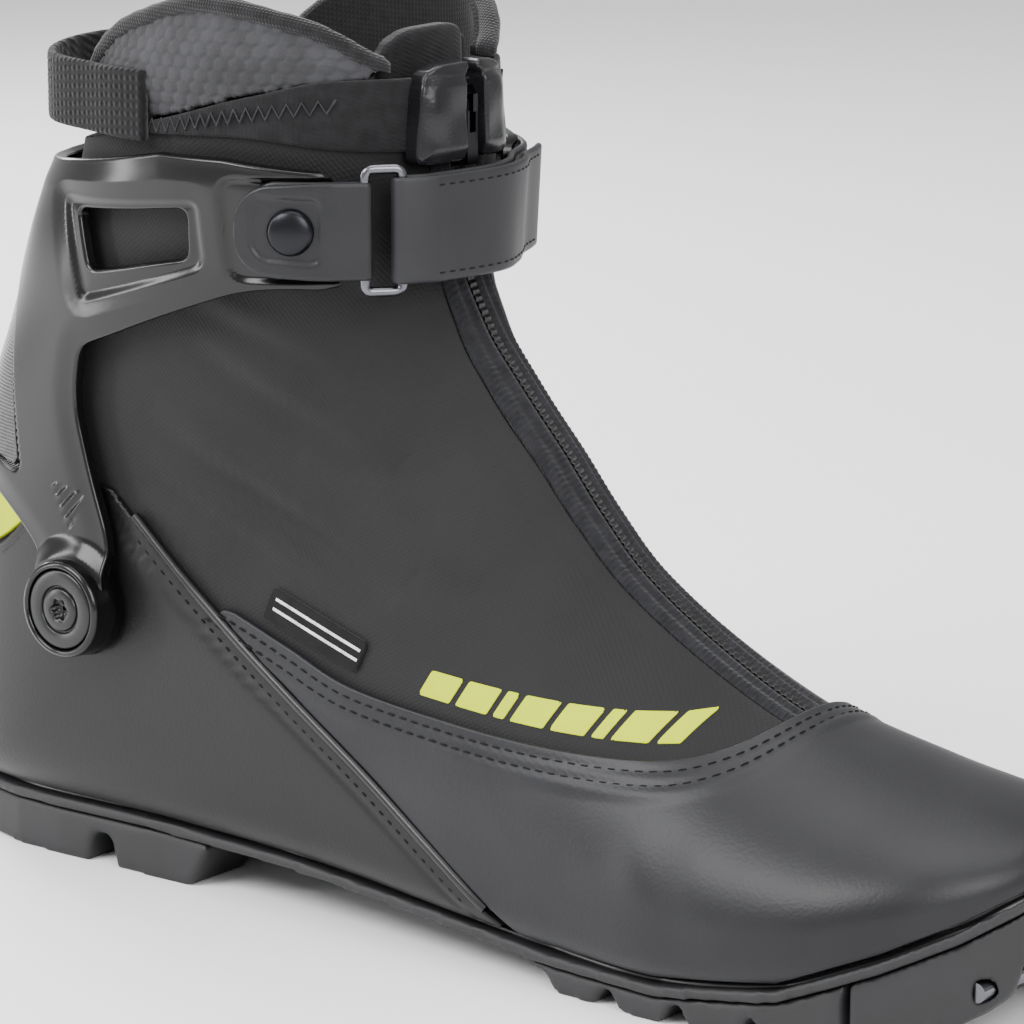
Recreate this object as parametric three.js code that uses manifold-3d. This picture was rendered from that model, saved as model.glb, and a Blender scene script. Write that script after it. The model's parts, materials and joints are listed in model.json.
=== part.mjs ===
// Cross-country ski boot, right foot, skate style, with a hinged plastic cuff.
// Millimetres. +X points to the toe, +Z up, -Y to the outer (lateral) side of the foot.
// The origin lies on the ground under the middle of the boot.
import * as THREE from 'three';
import { mergeVertices } from 'three/addons/utils/BufferGeometryUtils.js';
import Module from 'manifold-3d';

const wasm = await Module();
wasm.setup();

// ---------------------------------------------------------------- driving dimensions
const UPPER_LENGTH = 304;     // heel back to toe tip of the upper
const UPPER_WIDTH = 92;       // ball of the foot, over the upper
const UPPER_HEIGHT = 212;     // ground to the top of the padded collar
const GAP = 0.3;              // clearance between pieces that touch
const CENTRE_X = 2.5;         // middle of the finished boot, ahead of the ankle's own zero

const LINER = [-4.8, -1.7];   // layers of the upper, measured outwards from its shape
const UNDER = [-1.4, 0];
const OVER = [0.3, 1.9];
const CUFF_STANDOFF = 4.3;
const CUFF_WALL = 2.6;
const RECESS_DEPTH = 1.2;

const WELT_RISE = 2.0;        // welt line above the bottom of the upper
const BEAD_RADIUS = 1.05;
const PIPING_RADIUS = 1.2;
const LAP = 8;                // how far one panel runs under the next

const PLATE_THICKNESS = 2.8;
const PLATE_RIM = 2.2;
const PAD_THICKNESS = 1.5;
const CHANNEL_WIDTH = 22;
const HEEL_CHANNEL_DEPTH = 4;
const TOE_BAR_RADIUS = 2.2;
const TOE_BAR_LENGTH = 50;
const TOE_JAW_WIDTH = 30;

const CUFF_FORWARD = 15;      // degrees of travel
const CUFF_BACK = 6;
const BEND_FRONT = 19;        // angle of the ankle crease in front of the axis
const BEND_REAR = 139;        // and behind it
const BEND_MARGIN = 2;
const HUB_RADIUS = 30;        // lower upper kept round the axis
const BOSS_RADIUS = 11.5;     // boss of the cuff round each pivot bolt
const BOSS_HEIGHT = 8;
const BOSS_STAND = 2.5;       // air between boss and heel panel
const CAP_RADIUS = 9.4;
const CAP_DEPTH = 2.4;
const BOLT_RADIUS = 4;
const SOCKET_RADIUS = 2.2;
const SOCKET_DEPTH = 1.8;
const CAP_RING_DEPTH = 1;

const ZIP_TAPE = 8;           // half width of the zip strip
const ZIP_CHAIN = 2.2;
const THROAT = 12.5;          // half width of the lace throat in the liner
const STAY_WIDTH = 5;
const LACE_RADIUS = 1.1;

const STRAP_HEIGHT = 24;
const STRAP_THICKNESS = 1.7;
const STRAP_GAP = 1.7;        // room between its two layers, filled by the hook pad
const TAB_HEIGHT = 22;
const TAB_THICKNESS = 1.5;
const WIRE_RADIUS = 1.2;
const RING_ARM = 8.5;         // from one upright of the wire ring to the other
const RING_PLAY = 0.8;        // looseness of the strap on the ring
const RIVET_HEAD = 5;
const RIVET_DOME = 2.2;
const RIVET_SHANK = 2;
const LOOP_WIDTH = 16;        // webbing of the pull loop
const LOOP_THICKNESS = 2;
const LOOP_BACK = -120;       // rear of the pull loop
const FLAP = [5.6, 7.2];      // zip garage, measured like the layers above
const SLIDER = [2.0, 4.5];
const SLIDER_WIDTH = 8;
const SLIDER_LENGTH = 10;
const SLIDER_TOP = 191;       // height of the slider's upper end
const PULL_WIDTH = 3;
const PULL_LENGTH = 14;

// Proportions of the upper in its reference size, then scaled to the driving dimensions.
const KX = UPPER_LENGTH / 304;
const KY = UPPER_WIDTH / 92;
const KZ = UPPER_HEIGHT / 212;
const PIVOT = [-91.5 * KX, 67 * KZ];    // cuff axis, x and z
const STRAP_LEVEL = 161.5 * KZ;         // height of the strap's middle

// Each row is one slice through the upper, from the toe tip over the instep to the collar:
// ridge x, z; opposite edge x, z; outer and inner half width; where along the slice it is
// widest; how square its ridge half and its opposite half are; sideways shift.
const SLICES = [
  [154, 38.5, 154, 38.5, 0, 0, 0.50, 2.0, 2.5, 6],
  [151.5, 44, 151, 34, 17, 14, 0.60, 1.9, 3.0, 5],
  [144, 46.5, 143, 28.5, 30, 24, 0.62, 1.9, 3.6, 4],
  [131, 50, 129, 21.5, 40, 32, 0.66, 1.9, 4.2, 3],
  [112, 54, 107, 12.5, 46.5, 37.5, 0.68, 1.85, 4.6, 2],
  [86, 61, 76, 8, 47.5, 39, 0.70, 1.8, 5.0, 1],
  [62, 72.5, 44, 8, 44, 36, 0.70, 1.8, 5.0, 0.5],
  [42, 85.5, 8, 10.5, 41, 34, 0.68, 1.8, 5.0, 0],
  [29.5, 98, -34, 13, 38.5, 34, 0.64, 1.85, 4.8, 0],
  [19.5, 110, -80, 14, 37.5, 35, 0.60, 1.9, 4.4, 0],
  [11, 119.5, -128, 14, 37, 36, 0.58, 1.95, 4.2, 0],
  [4.5, 127, -147.5, 20, 37, 36.5, 0.56, 2.0, 3.3, 0],
  [-1, 133.5, -149.5, 46, 36.5, 36.5, 0.55, 2.05, 2.7, 0],
  [-5, 140, -145.5, 74, 36.5, 36.5, 0.54, 2.1, 2.6, 0],
  [-8.5, 146.5, -137.5, 101, 37, 37, 0.53, 2.15, 2.5, 0],
  [-11, 154, -127, 126, 38.5, 38.5, 0.52, 2.2, 2.4, 0],
  [-12.5, 164, -118.5, 149, 40.5, 40.5, 0.50, 2.25, 2.35, 0],
  [-13.5, 178, -109.5, 171, 41.5, 41.5, 0.50, 2.3, 2.3, 0],
  [-14, 194, -107.5, 192, 41.5, 41.5, 0.50, 2.3, 2.3, 0],
  [-14.5, 212, -109, 213, 41, 41, 0.50, 2.3, 2.3, 0],
  [-15, 230, -111, 230, 40, 40, 0.50, 2.3, 2.3, 0],
].map(([nx, nz, fx, fz, wl, wm, ...rest]) =>
  [nx * KX, nz * KZ, fx * KX, fz * KZ, wl * KY, wm * KY, ...rest]);
const LAST = SLICES.length - 1;
const ROWS = 22;
const AROUND = 20;

// ---------------------------------------------------------------- the shape of the upper
function catmull(a, b, c, d, t) {
  return 0.5 * (2 * b + (c - a) * t + (2 * a - 5 * b + 4 * c - d) * t * t
    + (3 * b - a - 3 * c + d) * t * t * t);
}

function slice(s) {
  const i = Math.min(Math.floor(s), LAST - 1);
  const [a, b, c, d] = [Math.max(i - 1, 0), i, i + 1, Math.min(i + 2, LAST)].map((k) => SLICES[k]);
  return b.map((_, k) => catmull(a[k], b[k], c[k], d[k], s - i));
}

// A point of the upper: s runs along the boot, angle goes round the slice from its ridge.
function shapePoint(s, angle) {
  const [nx, nz, fx, fz, outer, inner, peak, squareNear, squareFar, shift] = slice(s);
  const c = -Math.cos(angle);
  const q = Math.sin(angle);
  const square = c < 0 ? squareNear : squareFar;
  const r = (Math.abs(c) ** square + Math.abs(q) ** square) ** (-1 / square);
  const v = peak + r * c * (c < 0 ? peak : 1 - peak);
  return new THREE.Vector3(
    nx + (fx - nx) * v, shift + r * q * (q < 0 ? outer : inner), nz + (fz - nz) * v);
}

function upperPoint(s, angle, offset) {
  const step = 0.02;
  const t = Math.min(Math.max(s, 2 * step), LAST - step);
  const along = shapePoint(t + step, angle).sub(shapePoint(t - step, angle));
  const round = shapePoint(t, angle + step).sub(shapePoint(t, angle - step));
  const normal = s < step ? new THREE.Vector3(1, 0, 0.1) : round.cross(along);
  return shapePoint(s, angle).addScaledVector(normal.normalize(), offset);
}

// Half width of the upper at a place of its side view, or 0 outside it.
function halfWidth(x, z, side) {
  let low = 0.02;
  let high = LAST;
  for (let k = 0; k < 40; k++) {
    const mid = (low + high) / 2;
    const [nx, nz, fx, fz] = slice(mid);
    const turn = (fx - nx) * (z - nz) - (fz - nz) * (x - nx);
    if (turn < 0) low = mid;
    else high = mid;
  }
  const [nx, nz, fx, fz, outer, inner, peak, squareNear, squareFar, shift] = slice(low);
  const v = ((x - nx) * (fx - nx) + (z - nz) * (fz - nz)) / ((fx - nx) ** 2 + (fz - nz) ** 2);
  const c = Math.abs(v < peak ? (v - peak) / peak : (v - peak) / (1 - peak));
  const square = v < peak ? squareNear : squareFar;
  if (c >= 1) return 0;
  return (side < 0 ? outer : inner) * (1 - c ** square) ** (1 / square) + side * shift;
}

// Bottom of the upper and the welt line above it, along the boot.
function bottomZ(x) {
  const edge = SLICES.slice(0, 11);
  if (x <= edge[10][2]) return edge[10][3];
  const i = edge.findIndex((row) => row[2] <= x);
  if (i < 1) return edge[0][3];
  const t = (x - edge[i][2]) / (edge[i - 1][2] - edge[i][2]);
  return edge[i][3] + t * (edge[i - 1][3] - edge[i][3]);
}

function weltZ(x) {
  return bottomZ(x) + WELT_RISE;
}

// ---------------------------------------------------------------- solids
function solidOf(geometry) {
  const bare = geometry.clone();
  bare.deleteAttribute('normal');
  bare.deleteAttribute('uv');
  const merged = mergeVertices(bare, 1e-4);
  const index = merged.index.array;
  const kept = [];
  for (let i = 0; i < index.length; i += 3) {
    const [a, b, c] = [index[i], index[i + 1], index[i + 2]];
    if (a !== b && b !== c && c !== a) kept.push(a, b, c);
  }
  return new wasm.Manifold(new wasm.Mesh({
    numProp: 3,
    vertProperties: new Float32Array(merged.attributes.position.array),
    triVerts: new Uint32Array(kept),
  }));
}

function geometryOf(solid) {
  const { vertProperties, triVerts, numProp } = solid.getMesh();
  const positions = [];
  for (const v of triVerts) {
    positions.push(...vertProperties.slice(v * numProp, v * numProp + 3));
  }
  const geometry = new THREE.BufferGeometry();
  geometry.setAttribute('position', new THREE.Float32BufferAttribute(positions, 3));
  geometry.translate(-CENTRE_X * KX, 0, 0);
  geometry.computeVertexNormals();
  return geometry;
}

// A solid skinned over closed rows of points; its last row is closed by a fan.
function gridSolid(rows, lastRow) {
  const width = rows[0].length;
  const positions = rows.flat().flatMap((p) => [p.x, p.y, p.z]);
  const centre = rows[lastRow].reduce((sum, p) => sum.add(p), new THREE.Vector3()).divideScalar(width);
  const middle = positions.length / 3;
  positions.push(centre.x, centre.y, centre.z);
  const index = [];
  for (let j = 0; j < width; j++) {
    const next = (j + 1) % width;
    for (let i = 0; i < lastRow; i++) {
      const a = i * width + j;
      const b = i * width + next;
      index.push(a, b, a + width, b, b + width, a + width);
    }
    index.push(lastRow * width + j, lastRow * width + next, middle);
  }
  const geometry = new THREE.BufferGeometry();
  geometry.setAttribute('position', new THREE.Float32BufferAttribute(positions, 3));
  geometry.setIndex(index);
  return solidOf(geometry);
}

const bootSolids = new Map();
function bootSolid(offset) {
  if (!bootSolids.has(offset)) {
    const rows = [];
    for (let i = 0; i <= ROWS; i++) {
      const s = LAST * (i / ROWS) ** 1.1;
      const row = [];
      for (let j = 0; j < AROUND; j++) {
        row.push(upperPoint(s, (j / AROUND) * 2 * Math.PI, offset));
      }
      rows.push(row);
    }
    bootSolids.set(offset, gridSolid(rows, ROWS));
  }
  return bootSolids.get(offset);
}

function layer([inner, outer]) {
  return bootSolid(outer).subtract(bootSolid(inner));
}

const WIDE = 120;             // half thickness of side-view cutters

// A closed outline through corners [x, y, radius]; the radius rounds that corner.
function outline(corners) {
  const shape = new THREE.Shape();
  const count = corners.length;
  corners.forEach(([x, y, radius = 0], i) => {
    const corner = new THREE.Vector2(x, y);
    const before = new THREE.Vector2(...corners[(i + count - 1) % count]).sub(corner);
    const after = new THREE.Vector2(...corners[(i + 1) % count]).sub(corner);
    const cut = Math.min(radius, before.length() / 2, after.length() / 2);
    const start = corner.clone().addScaledVector(before.normalize(), cut);
    const end = corner.clone().addScaledVector(after.normalize(), cut);
    if (i === 0) shape.moveTo(start.x, start.y);
    else shape.lineTo(start.x, start.y);
    if (cut > 0) shape.quadraticCurveTo(x, y, end.x, end.y);
  });
  shape.closePath();
  return shape;
}

function sideSolid(shape, yLow = -WIDE, yHigh = WIDE) {
  const geometry = new THREE.ExtrudeGeometry(
    shape, { depth: yHigh - yLow, bevelEnabled: false, curveSegments: 4 });
  return solidOf(geometry.rotateX(Math.PI / 2).translate(0, yHigh, 0));
}

function planSolid(shape, zLow, zHigh) {
  const geometry = new THREE.ExtrudeGeometry(
    shape, { depth: zHigh - zLow, bevelEnabled: false, curveSegments: 4 });
  return solidOf(geometry.translate(0, 0, zLow));
}

// A front-view shape (y, z) carried from xLow to xHigh.
function frontSolid(shape, xLow, xHigh) {
  const geometry = new THREE.ExtrudeGeometry(
    shape, { depth: xHigh - xLow, bevelEnabled: false, curveSegments: 4 });
  return solidOf(geometry.rotateX(Math.PI / 2).rotateZ(Math.PI / 2).translate(xLow, 0, 0));
}

function boxSolid([x0, y0, z0], [x1, y1, z1]) {
  const geometry = new THREE.BoxGeometry(x1 - x0, y1 - y0, z1 - z0);
  return solidOf(geometry.translate((x0 + x1) / 2, (y0 + y1) / 2, (z0 + z1) / 2));
}

// A cylinder across the boot, from y0 to y1.
function crossCylinder(radius, x, z, y0, y1, segments = 32) {
  const geometry = new THREE.CylinderGeometry(radius, radius, Math.abs(y1 - y0), segments);
  return solidOf(geometry.translate(x, (y0 + y1) / 2, z));
}

function curvePoints(points, divisions) {
  const line = new THREE.SplineCurve(points.map(([x, y]) => new THREE.Vector2(x, y)));
  return line.getPoints(divisions).map((p) => [p.x, p.y]);
}

function scaled(points) {
  return points.map(([x, z, ...rest]) => [x * KX, z * KZ, ...rest]);
}

const LATERAL = boxSolid([-400, -WIDE, -50], [400, 0, 400]);
const MEDIAL = boxSolid([-400, 0, -50], [400, WIDE, 400]);
const SIDES = [['lateral', -1, LATERAL], ['medial', 1, MEDIAL]];

// ---------------------------------------------------------------- seam lines in side view
const VAMP_EDGE = curvePoints(scaled(
  [[-60, 75], [-44, 69.5], [-30.4, 64.9], [-12.6, 58.9], [16, 55.3], [43, 53.4], [66, 53.4],
    [78, 55.5], [86, 60.5], [91, 72]]), 22);
const DIAGONAL = curvePoints(scaled(
  [[-83, 94.5], [-57.4, 72.4], [-29.6, 53.6], [-2.1, 36.5], [24.7, 19.3], [42, 8]]), 12);
const HEEL_TOP = curvePoints(scaled(
  [[-83, 94.5], [-95, 95.5], [-108, 88.5], [-121, 77], [-140, 67], [-165, 62]]), 10);

function shifted(points, dx, dz) {
  return points.map(([x, z]) => [x + dx, z + dz]);
}

// The welt line raised by rise, from behind the heel to before the toe.
const REACH = 170 * KX;
function weltRegion(rise) {
  const line = [[-REACH, weltZ(-REACH) + rise]];
  for (const row of SLICES.slice(0, 11).reverse()) line.push([row[2], row[3] + WELT_RISE + rise]);
  return [...line, [REACH, weltZ(REACH) + rise]];
}

// Everything above the welt line raised by rise.
function aboveWelt(rise) {
  return sideSolid(outline([...weltRegion(rise), [REACH, 300], [-REACH, 300]]));
}

const VAMP_REGION = sideSolid(outline(
  [...VAMP_EDGE.slice(1), [200, 72], [200, -30], [60, -30], ...DIAGONAL.slice(4).reverse()]));
const ABOVE_VAMP = sideSolid(outline(
  [...shifted(VAMP_EDGE, 0, -LAP), [200, 64], [200, 400], [-60, 400]]));
const BEHIND_DIAGONAL = sideSolid(outline([...DIAGONAL, [42, -30], [-300, -30], ...[...HEEL_TOP].reverse()]));
const LAPPED_DIAGONAL = shifted(DIAGONAL, -LAP * 0.7, -LAP * 0.7);
const BEHIND_LAP = sideSolid(outline([...LAPPED_DIAGONAL, [30, -60], [-300, -60], [-300, 400], [-110, 400]]));

// ---------------------------------------------------------------- zones that move apart
function ray(angle, length = 500) {
  const t = THREE.MathUtils.degToRad(angle);
  return [PIVOT[0] + length * Math.cos(t), PIVOT[1] + length * Math.sin(t)];
}

const BEND_TOP = BEND_FRONT + CUFF_FORWARD + BEND_MARGIN;
const BEND_BACK_TOP = BEND_REAR - CUFF_BACK - BEND_MARGIN;
const HUB = crossCylinder(HUB_RADIUS, ...PIVOT, -WIDE, WIDE, 48);
const HUB_CLEAR = crossCylinder(HUB_RADIUS + 2 * GAP, ...PIVOT, -WIDE, WIDE, 48);
const LOWER_ZONE = sideSolid(outline(
  [ray(BEND_FRONT), PIVOT, ray(BEND_REAR), [-600, -300], [600, -300]])).add(HUB);
const UPPER_ZONE = sideSolid(outline(
  [ray(BEND_TOP), [400, 700], [-400, 700], ray(BEND_BACK_TOP), PIVOT])).subtract(HUB_CLEAR);
const FLEX_ZONE = sideSolid(outline(
  [ray(BEND_FRONT + 0.4), ray(BEND_TOP - 0.4), PIVOT])).subtract(HUB_CLEAR);

// ---------------------------------------------------------------- pivot stack, inside to outside
const HEEL_SURFACE = Math.max(halfWidth(...PIVOT, -1), halfWidth(...PIVOT, 1)) + OVER[1];
const BOSS_SEAT = HEEL_SURFACE + BOSS_STAND;
const BOSS_FACE = BOSS_SEAT + BOSS_HEIGHT;
const BOLT_HOLE = crossCylinder(BOLT_RADIUS + GAP, ...PIVOT, -WIDE, WIDE, 24);

// ---------------------------------------------------------------- the exported group
const boot = new THREE.Group();
boot.name = 'cross_country_boot';

function addMesh(name, solid, colour, roughness, metalness = 0) {
  const material = new THREE.MeshStandardMaterial({ color: colour, roughness, metalness });
  const mesh = new THREE.Mesh(geometryOf(solid), material);
  mesh.name = name;
  boot.add(mesh);
}

const SOFTSHELL = [0x373639, 0.9];
const LEATHER = [0x48474c, 0.45];
const HEEL_LEATHER = [0x3e3e42, 0.45];
const RUBBER = [0x444348, 0.7];
const PLASTIC = [0x2c2c2e, 0.25];
const LINING = [0x282425, 0.95];
const STEEL = [0xb8b8bc, 0.25, 1];
const PADDING = [0x656569, 0.9];
const WEBBING = [0x3c3c3f, 0.9];
const STRAP = [0x4f4e53, 0.5];
const YELLOW = [0xfdff04, 0.6];

// ---------------------------------------------------------------- sole
function soleOutline(rim) {
  const shape = new THREE.Shape();
  const front = 153.2 * KX;
  const back = -143.5 * KX;
  const steps = 18;
  const points = [];
  for (const side of [-1, 1]) {
    for (let i = 0; i <= steps; i++) {
      const t = side < 0 ? i / steps : 1 - i / steps;
      const x = (front + back) / 2 - ((front - back) / 2) * Math.cos(Math.PI * t);
      const nose = rim * Math.cos(Math.PI * t);
      const y = side * (halfWidth(x, weltZ(x) + 1.5, side) + rim);
      points.push([x - nose, y]);
    }
  }
  points.forEach(([x, y], i) => (i ? shape.lineTo(x, y) : shape.moveTo(x, y)));
  shape.closePath();
  return shape;
}

function soleBand(top, bottom) {
  return sideSolid(outline([...weltRegion(-top), ...weltRegion(-bottom).reverse()]));
}

const PLATE_TOP = BEAD_RADIUS + GAP;
const PLATE_BOTTOM = PLATE_TOP + PLATE_THICKNESS;
const TREAD_TOP = PLATE_BOTTOM + GAP;
const SOLE_FOOTPRINT = planSolid(soleOutline(PLATE_RIM), -20, 60);
const TREAD_FOOTPRINT = planSolid(soleOutline(PLATE_RIM - 1), -20, 60);
const BOTTOM_CLEAR = bootSolid(GAP);
addMesh('sole_plate', soleBand(PLATE_TOP, PLATE_BOTTOM)
  .intersect(SOLE_FOOTPRINT).subtract(BOTTOM_CLEAR), ...RUBBER);

function underPlate(points) {
  return sideSolid(outline(points)).intersect(TREAD_FOOTPRINT);
}

function belowPlate(drop) {
  return sideSolid(outline([...weltRegion(-TREAD_TOP - drop), [REACH, -60], [-REACH, -60]]));
}

const HEEL_PROFILE = scaled([[-160, 40], [-160, 6], [-137, 0, 9], [-101, 0], [-99.5, 7.5, 1.5],
  [-94, 7.5, 1.5], [-92, 0], [-68, 0, 1.5], [-61, 13], [-61, 40]]);
const channel = boxSolid([-400, -CHANNEL_WIDTH / 2, -1], [400, CHANNEL_WIDTH / 2, HEEL_CHANNEL_DEPTH]);
addMesh('heel_tread', underPlate(HEEL_PROFILE).intersect(belowPlate(0)).subtract(channel), ...RUBBER);

const LUGS = [[43, 62, 0], [62.5, 81, 0], [82.5, 100, 0], [101.5, 121.5, 2.5]];
const forefoot = soleBand(TREAD_TOP, TREAD_TOP + PAD_THICKNESS).intersect(TREAD_FOOTPRINT)
  .intersect(boxSolid([40 * KX, -WIDE, -20], [122 * KX, WIDE, 60]));
let lugs = null;
for (const [rear, front, rise] of LUGS) {
  const lug = underPlate(scaled(
    [[rear, 30], [rear, 5.5], [rear + 3.5, rise, 1], [front - 3.5, rise, 1], [front, 5.5], [front, 30]]))
    .intersect(belowPlate(PAD_THICKNESS / 2));
  lugs = lugs ? lugs.add(lug) : lug;
}
const groove = boxSolid([-400, -CHANNEL_WIDTH / 2, -20], [400, CHANNEL_WIDTH / 2, 60])
  .intersect(belowPlate(PAD_THICKNESS));
addMesh('forefoot_tread', forefoot.add(lugs).subtract(groove), ...RUBBER);

const BAR = [145.5 * KX, 15.5 * KZ];
const TOE_PROFILE = scaled([[123, 60], [123, 6], [125, 3, 2], [142, 7.5, 2], [149.5, 13.5, 3], [153, 26, 4],
  [154, 60]]);
const jaw = boxSolid([BAR[0] - 9, -TOE_JAW_WIDTH / 2, -10], [200, TOE_JAW_WIDTH / 2, BAR[1] + 7.5]);
const barBore = crossCylinder(TOE_BAR_RADIUS + GAP, ...BAR, -TOE_BAR_LENGTH / 2 - GAP, TOE_BAR_LENGTH / 2 + GAP, 20);
addMesh('toe_block', underPlate(TOE_PROFILE).intersect(belowPlate(0)).subtract(jaw).subtract(barBore), ...RUBBER);
addMesh('toe_bar', crossCylinder(TOE_BAR_RADIUS, ...BAR, -TOE_BAR_LENGTH / 2, TOE_BAR_LENGTH / 2, 20), ...STEEL);

// ---------------------------------------------------------------- bottom of the upper
const underLayer = layer(UNDER);
const BOARD_EDGE = 1.0;
const belowBoardEdge = sideSolid(outline([...weltRegion(BOARD_EDGE), [REACH, -60], [-REACH, -60]]));
addMesh('lasting_board', underLayer.intersect(belowBoardEdge), ...LINING);

const INSOLE = [LINER[0] - GAP, 3.6];
const insoleSlab = sideSolid(outline([
  ...weltRegion(-WELT_RISE - INSOLE[0]),
  ...weltRegion(-WELT_RISE - INSOLE[0] + INSOLE[1]).reverse()]));
addMesh('insole', bootSolid(INSOLE[0]).intersect(insoleSlab)
  .intersect(boxSolid([-400, -WIDE, -10], [140 * KX, WIDE, 60])), 0x55555a, 0.9);

// ---------------------------------------------------------------- lower upper
const overLayer = layer(OVER);
const aboveBead = aboveWelt(BEAD_RADIUS + GAP);
const aboveBoard = aboveWelt(BOARD_EDGE + GAP);
addMesh('vamp', overLayer.intersect(VAMP_REGION.subtract(sideSolid(outline(
  [...shifted(DIAGONAL, PIPING_RADIUS, PIPING_RADIUS).reverse(), [-300, 94], [-300, -60], [44, -60]]))))
  .intersect(aboveBead), ...LEATHER);
const heelRegion = sideSolid(outline([...shifted(DIAGONAL, -PIPING_RADIUS, -PIPING_RADIUS), [42, -60], [-300, -60],
  [-300, 62 * KZ], ...[...shifted(HEEL_TOP, 0, -PIPING_RADIUS)].reverse()]));
addMesh('heel_panel', overLayer.intersect(heelRegion).intersect(aboveBead).intersect(LOWER_ZONE)
  .subtract(BOLT_HOLE), ...HEEL_LEATHER);

const PATCH = scaled([[-114.5, 90], [-111.5, 84.5], [-121, 78.3], [-140, 68.3], [-165, 63.3], [-165, 80],
  [-146, 83], [-130, 87]]);
addMesh('heel_patch', overLayer.intersect(sideSolid(outline(PATCH))).intersect(LOWER_ZONE), ...YELLOW);

const TOE_PUFF_START = 106 * KX;
const lowerUnder = underLayer.intersect(aboveBoard).intersect(LOWER_ZONE);
const beforeLap = sideSolid(outline([...shifted(LAPPED_DIAGONAL, GAP, GAP), [34, -60], [400, -60], [400, 400],
  [LAPPED_DIAGONAL[0][0], 400]]));
const heelUnder = lowerUnder.intersect(BEHIND_LAP);
const aboveHeelLap = sideSolid(outline([...shifted(HEEL_TOP, 0, -LAP * 0.8), [-300, 50], [-300, 400],
  [-60, 400]]));
const belowHeelLap = sideSolid(outline([...shifted(HEEL_TOP, 0, -LAP * 0.8 - GAP), [-300, 50], [-300, -60],
  [60, -60], [60, 60]]));
addMesh('heel_counter', heelUnder.intersect(belowHeelLap).subtract(BOLT_HOLE), 0x77777a, 0.6);
addMesh('heel_fabric', heelUnder.intersect(aboveHeelLap), 0x515055, 0.95);
const belowVampLap = sideSolid(outline([...shifted(VAMP_EDGE, 0, -LAP - GAP), [200, 60], [200, -60],
  [-120, -60], [-120, 75]]));
const forward = lowerUnder.intersect(beforeLap);
addMesh('toe_puff', forward.intersect(belowVampLap)
  .intersect(boxSolid([TOE_PUFF_START, -WIDE, -10], [400, WIDE, 200])), 0x77777a, 0.6);
addMesh('vamp_lining', forward.intersect(belowVampLap)
  .intersect(boxSolid([-400, -WIDE, -10], [TOE_PUFF_START - GAP, WIDE, 200])), ...LINING);

// ---------------------------------------------------------------- zip strip over the ridge
function ridgeStrip(halfWidthOfStrip) {
  return boxSolid([-60, -halfWidthOfStrip, 40], [200, halfWidthOfStrip, 400]);
}
const zipSlot = ridgeStrip(ZIP_TAPE + GAP);
const aboveSeam = sideSolid(outline([...shifted(VAMP_EDGE, 0, -LAP), [200, 64], [200, 400],
  [-60, 400]])).intersect(boxSolid([-60, -WIDE, 0], [400, WIDE, 400]));
const COLLAR_LINE = scaled([[-140, 170], [-100, 174], [-66, 182], [-40, 189.5], [-22, 193], [20, 188]]);
const underCollarLine = sideSolid(outline([...curvePoints(COLLAR_LINE, 12), [200, 188], [200, -60], [-140, -60]]));
const zipZones = [['lower', LOWER_ZONE], ['middle', FLEX_ZONE], ['upper', UPPER_ZONE]];
const chainLayer = layer([GAP, 1.7]);
const aboveVampEdge = sideSolid(outline([...shifted(VAMP_EDGE, 0, PIPING_RADIUS), [200, 74], [200, 400], [-60, 400]]));
for (const [place, zone] of zipZones) {
  const strip = zone.intersect(underCollarLine).intersect(aboveSeam);
  addMesh(`zip_tape_${place}`, underLayer.intersect(strip).intersect(ridgeStrip(ZIP_TAPE)), 0x403f44, 0.8);
  addMesh(`zip_chain_${place}`, chainLayer.intersect(strip).intersect(ridgeStrip(ZIP_CHAIN))
    .intersect(aboveVampEdge), 0x2b2b2d, 0.4);
}

// ---------------------------------------------------------------- softshell cover and liner
const softLower = forward.intersect(ABOVE_VAMP).subtract(zipSlot);
for (const [side, , half] of SIDES) {
  addMesh(`softshell_lower_${side}`, softLower.intersect(half), ...SOFTSHELL);
  addMesh(`softshell_flex_${side}`, underLayer.intersect(FLEX_ZONE).subtract(zipSlot).intersect(half), ...SOFTSHELL);
}
addMesh('softshell_shaft', underLayer.intersect(UPPER_ZONE).intersect(underCollarLine).subtract(zipSlot), ...SOFTSHELL);

const linerLayer = layer(LINER);
const throatStart = 24 * KX;
const throatEnd = 80 * KX;
function throatBox(halfOpening, extra) {
  return boxSolid([throatStart - extra, -halfOpening, 40], [throatEnd + extra, halfOpening, 300]);
}
const linerLower = linerLayer.intersect(LOWER_ZONE);
addMesh('liner_lower', linerLower.subtract(throatBox(THROAT + STAY_WIDTH + GAP, GAP)), ...LINING);
addMesh('liner_flex', linerLayer.intersect(FLEX_ZONE), ...LINING);
addMesh('liner_shaft', linerLayer.intersect(UPPER_ZONE).intersect(underCollarLine), ...LINING);
const throatTop = throatBox(THROAT + STAY_WIDTH, 0).intersect(LOWER_ZONE).subtract(throatBox(THROAT, 10));
for (const [side, , half] of SIDES) {
  addMesh(`lace_stay_${side}`, linerLower.intersect(throatTop).intersect(half), 0x39383b, 0.8);
}

const tongueLayer = layer([LINER[0] - GAP - 3, LINER[0] - GAP]);
const TONGUE_HALF = 19;
const tongueStrip = ridgeStrip(TONGUE_HALF);
addMesh('tongue_lower', tongueLayer.intersect(LOWER_ZONE).intersect(tongueStrip)
  .intersect(sideSolid(outline(scaled([[20, 30], [84, 30], [84, 300], [-50, 300]])))), ...LINING);
const TONGUE_TOP = scaled([[-60, 204], [-30, 204, 4], [0, 204]]);
addMesh('tongue_upper', tongueLayer.intersect(UPPER_ZONE).intersect(tongueStrip)
  .intersect(sideSolid(outline([...TONGUE_TOP, [0, 100], [-60, 100]]))), 0x414143, 0.95);

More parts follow.
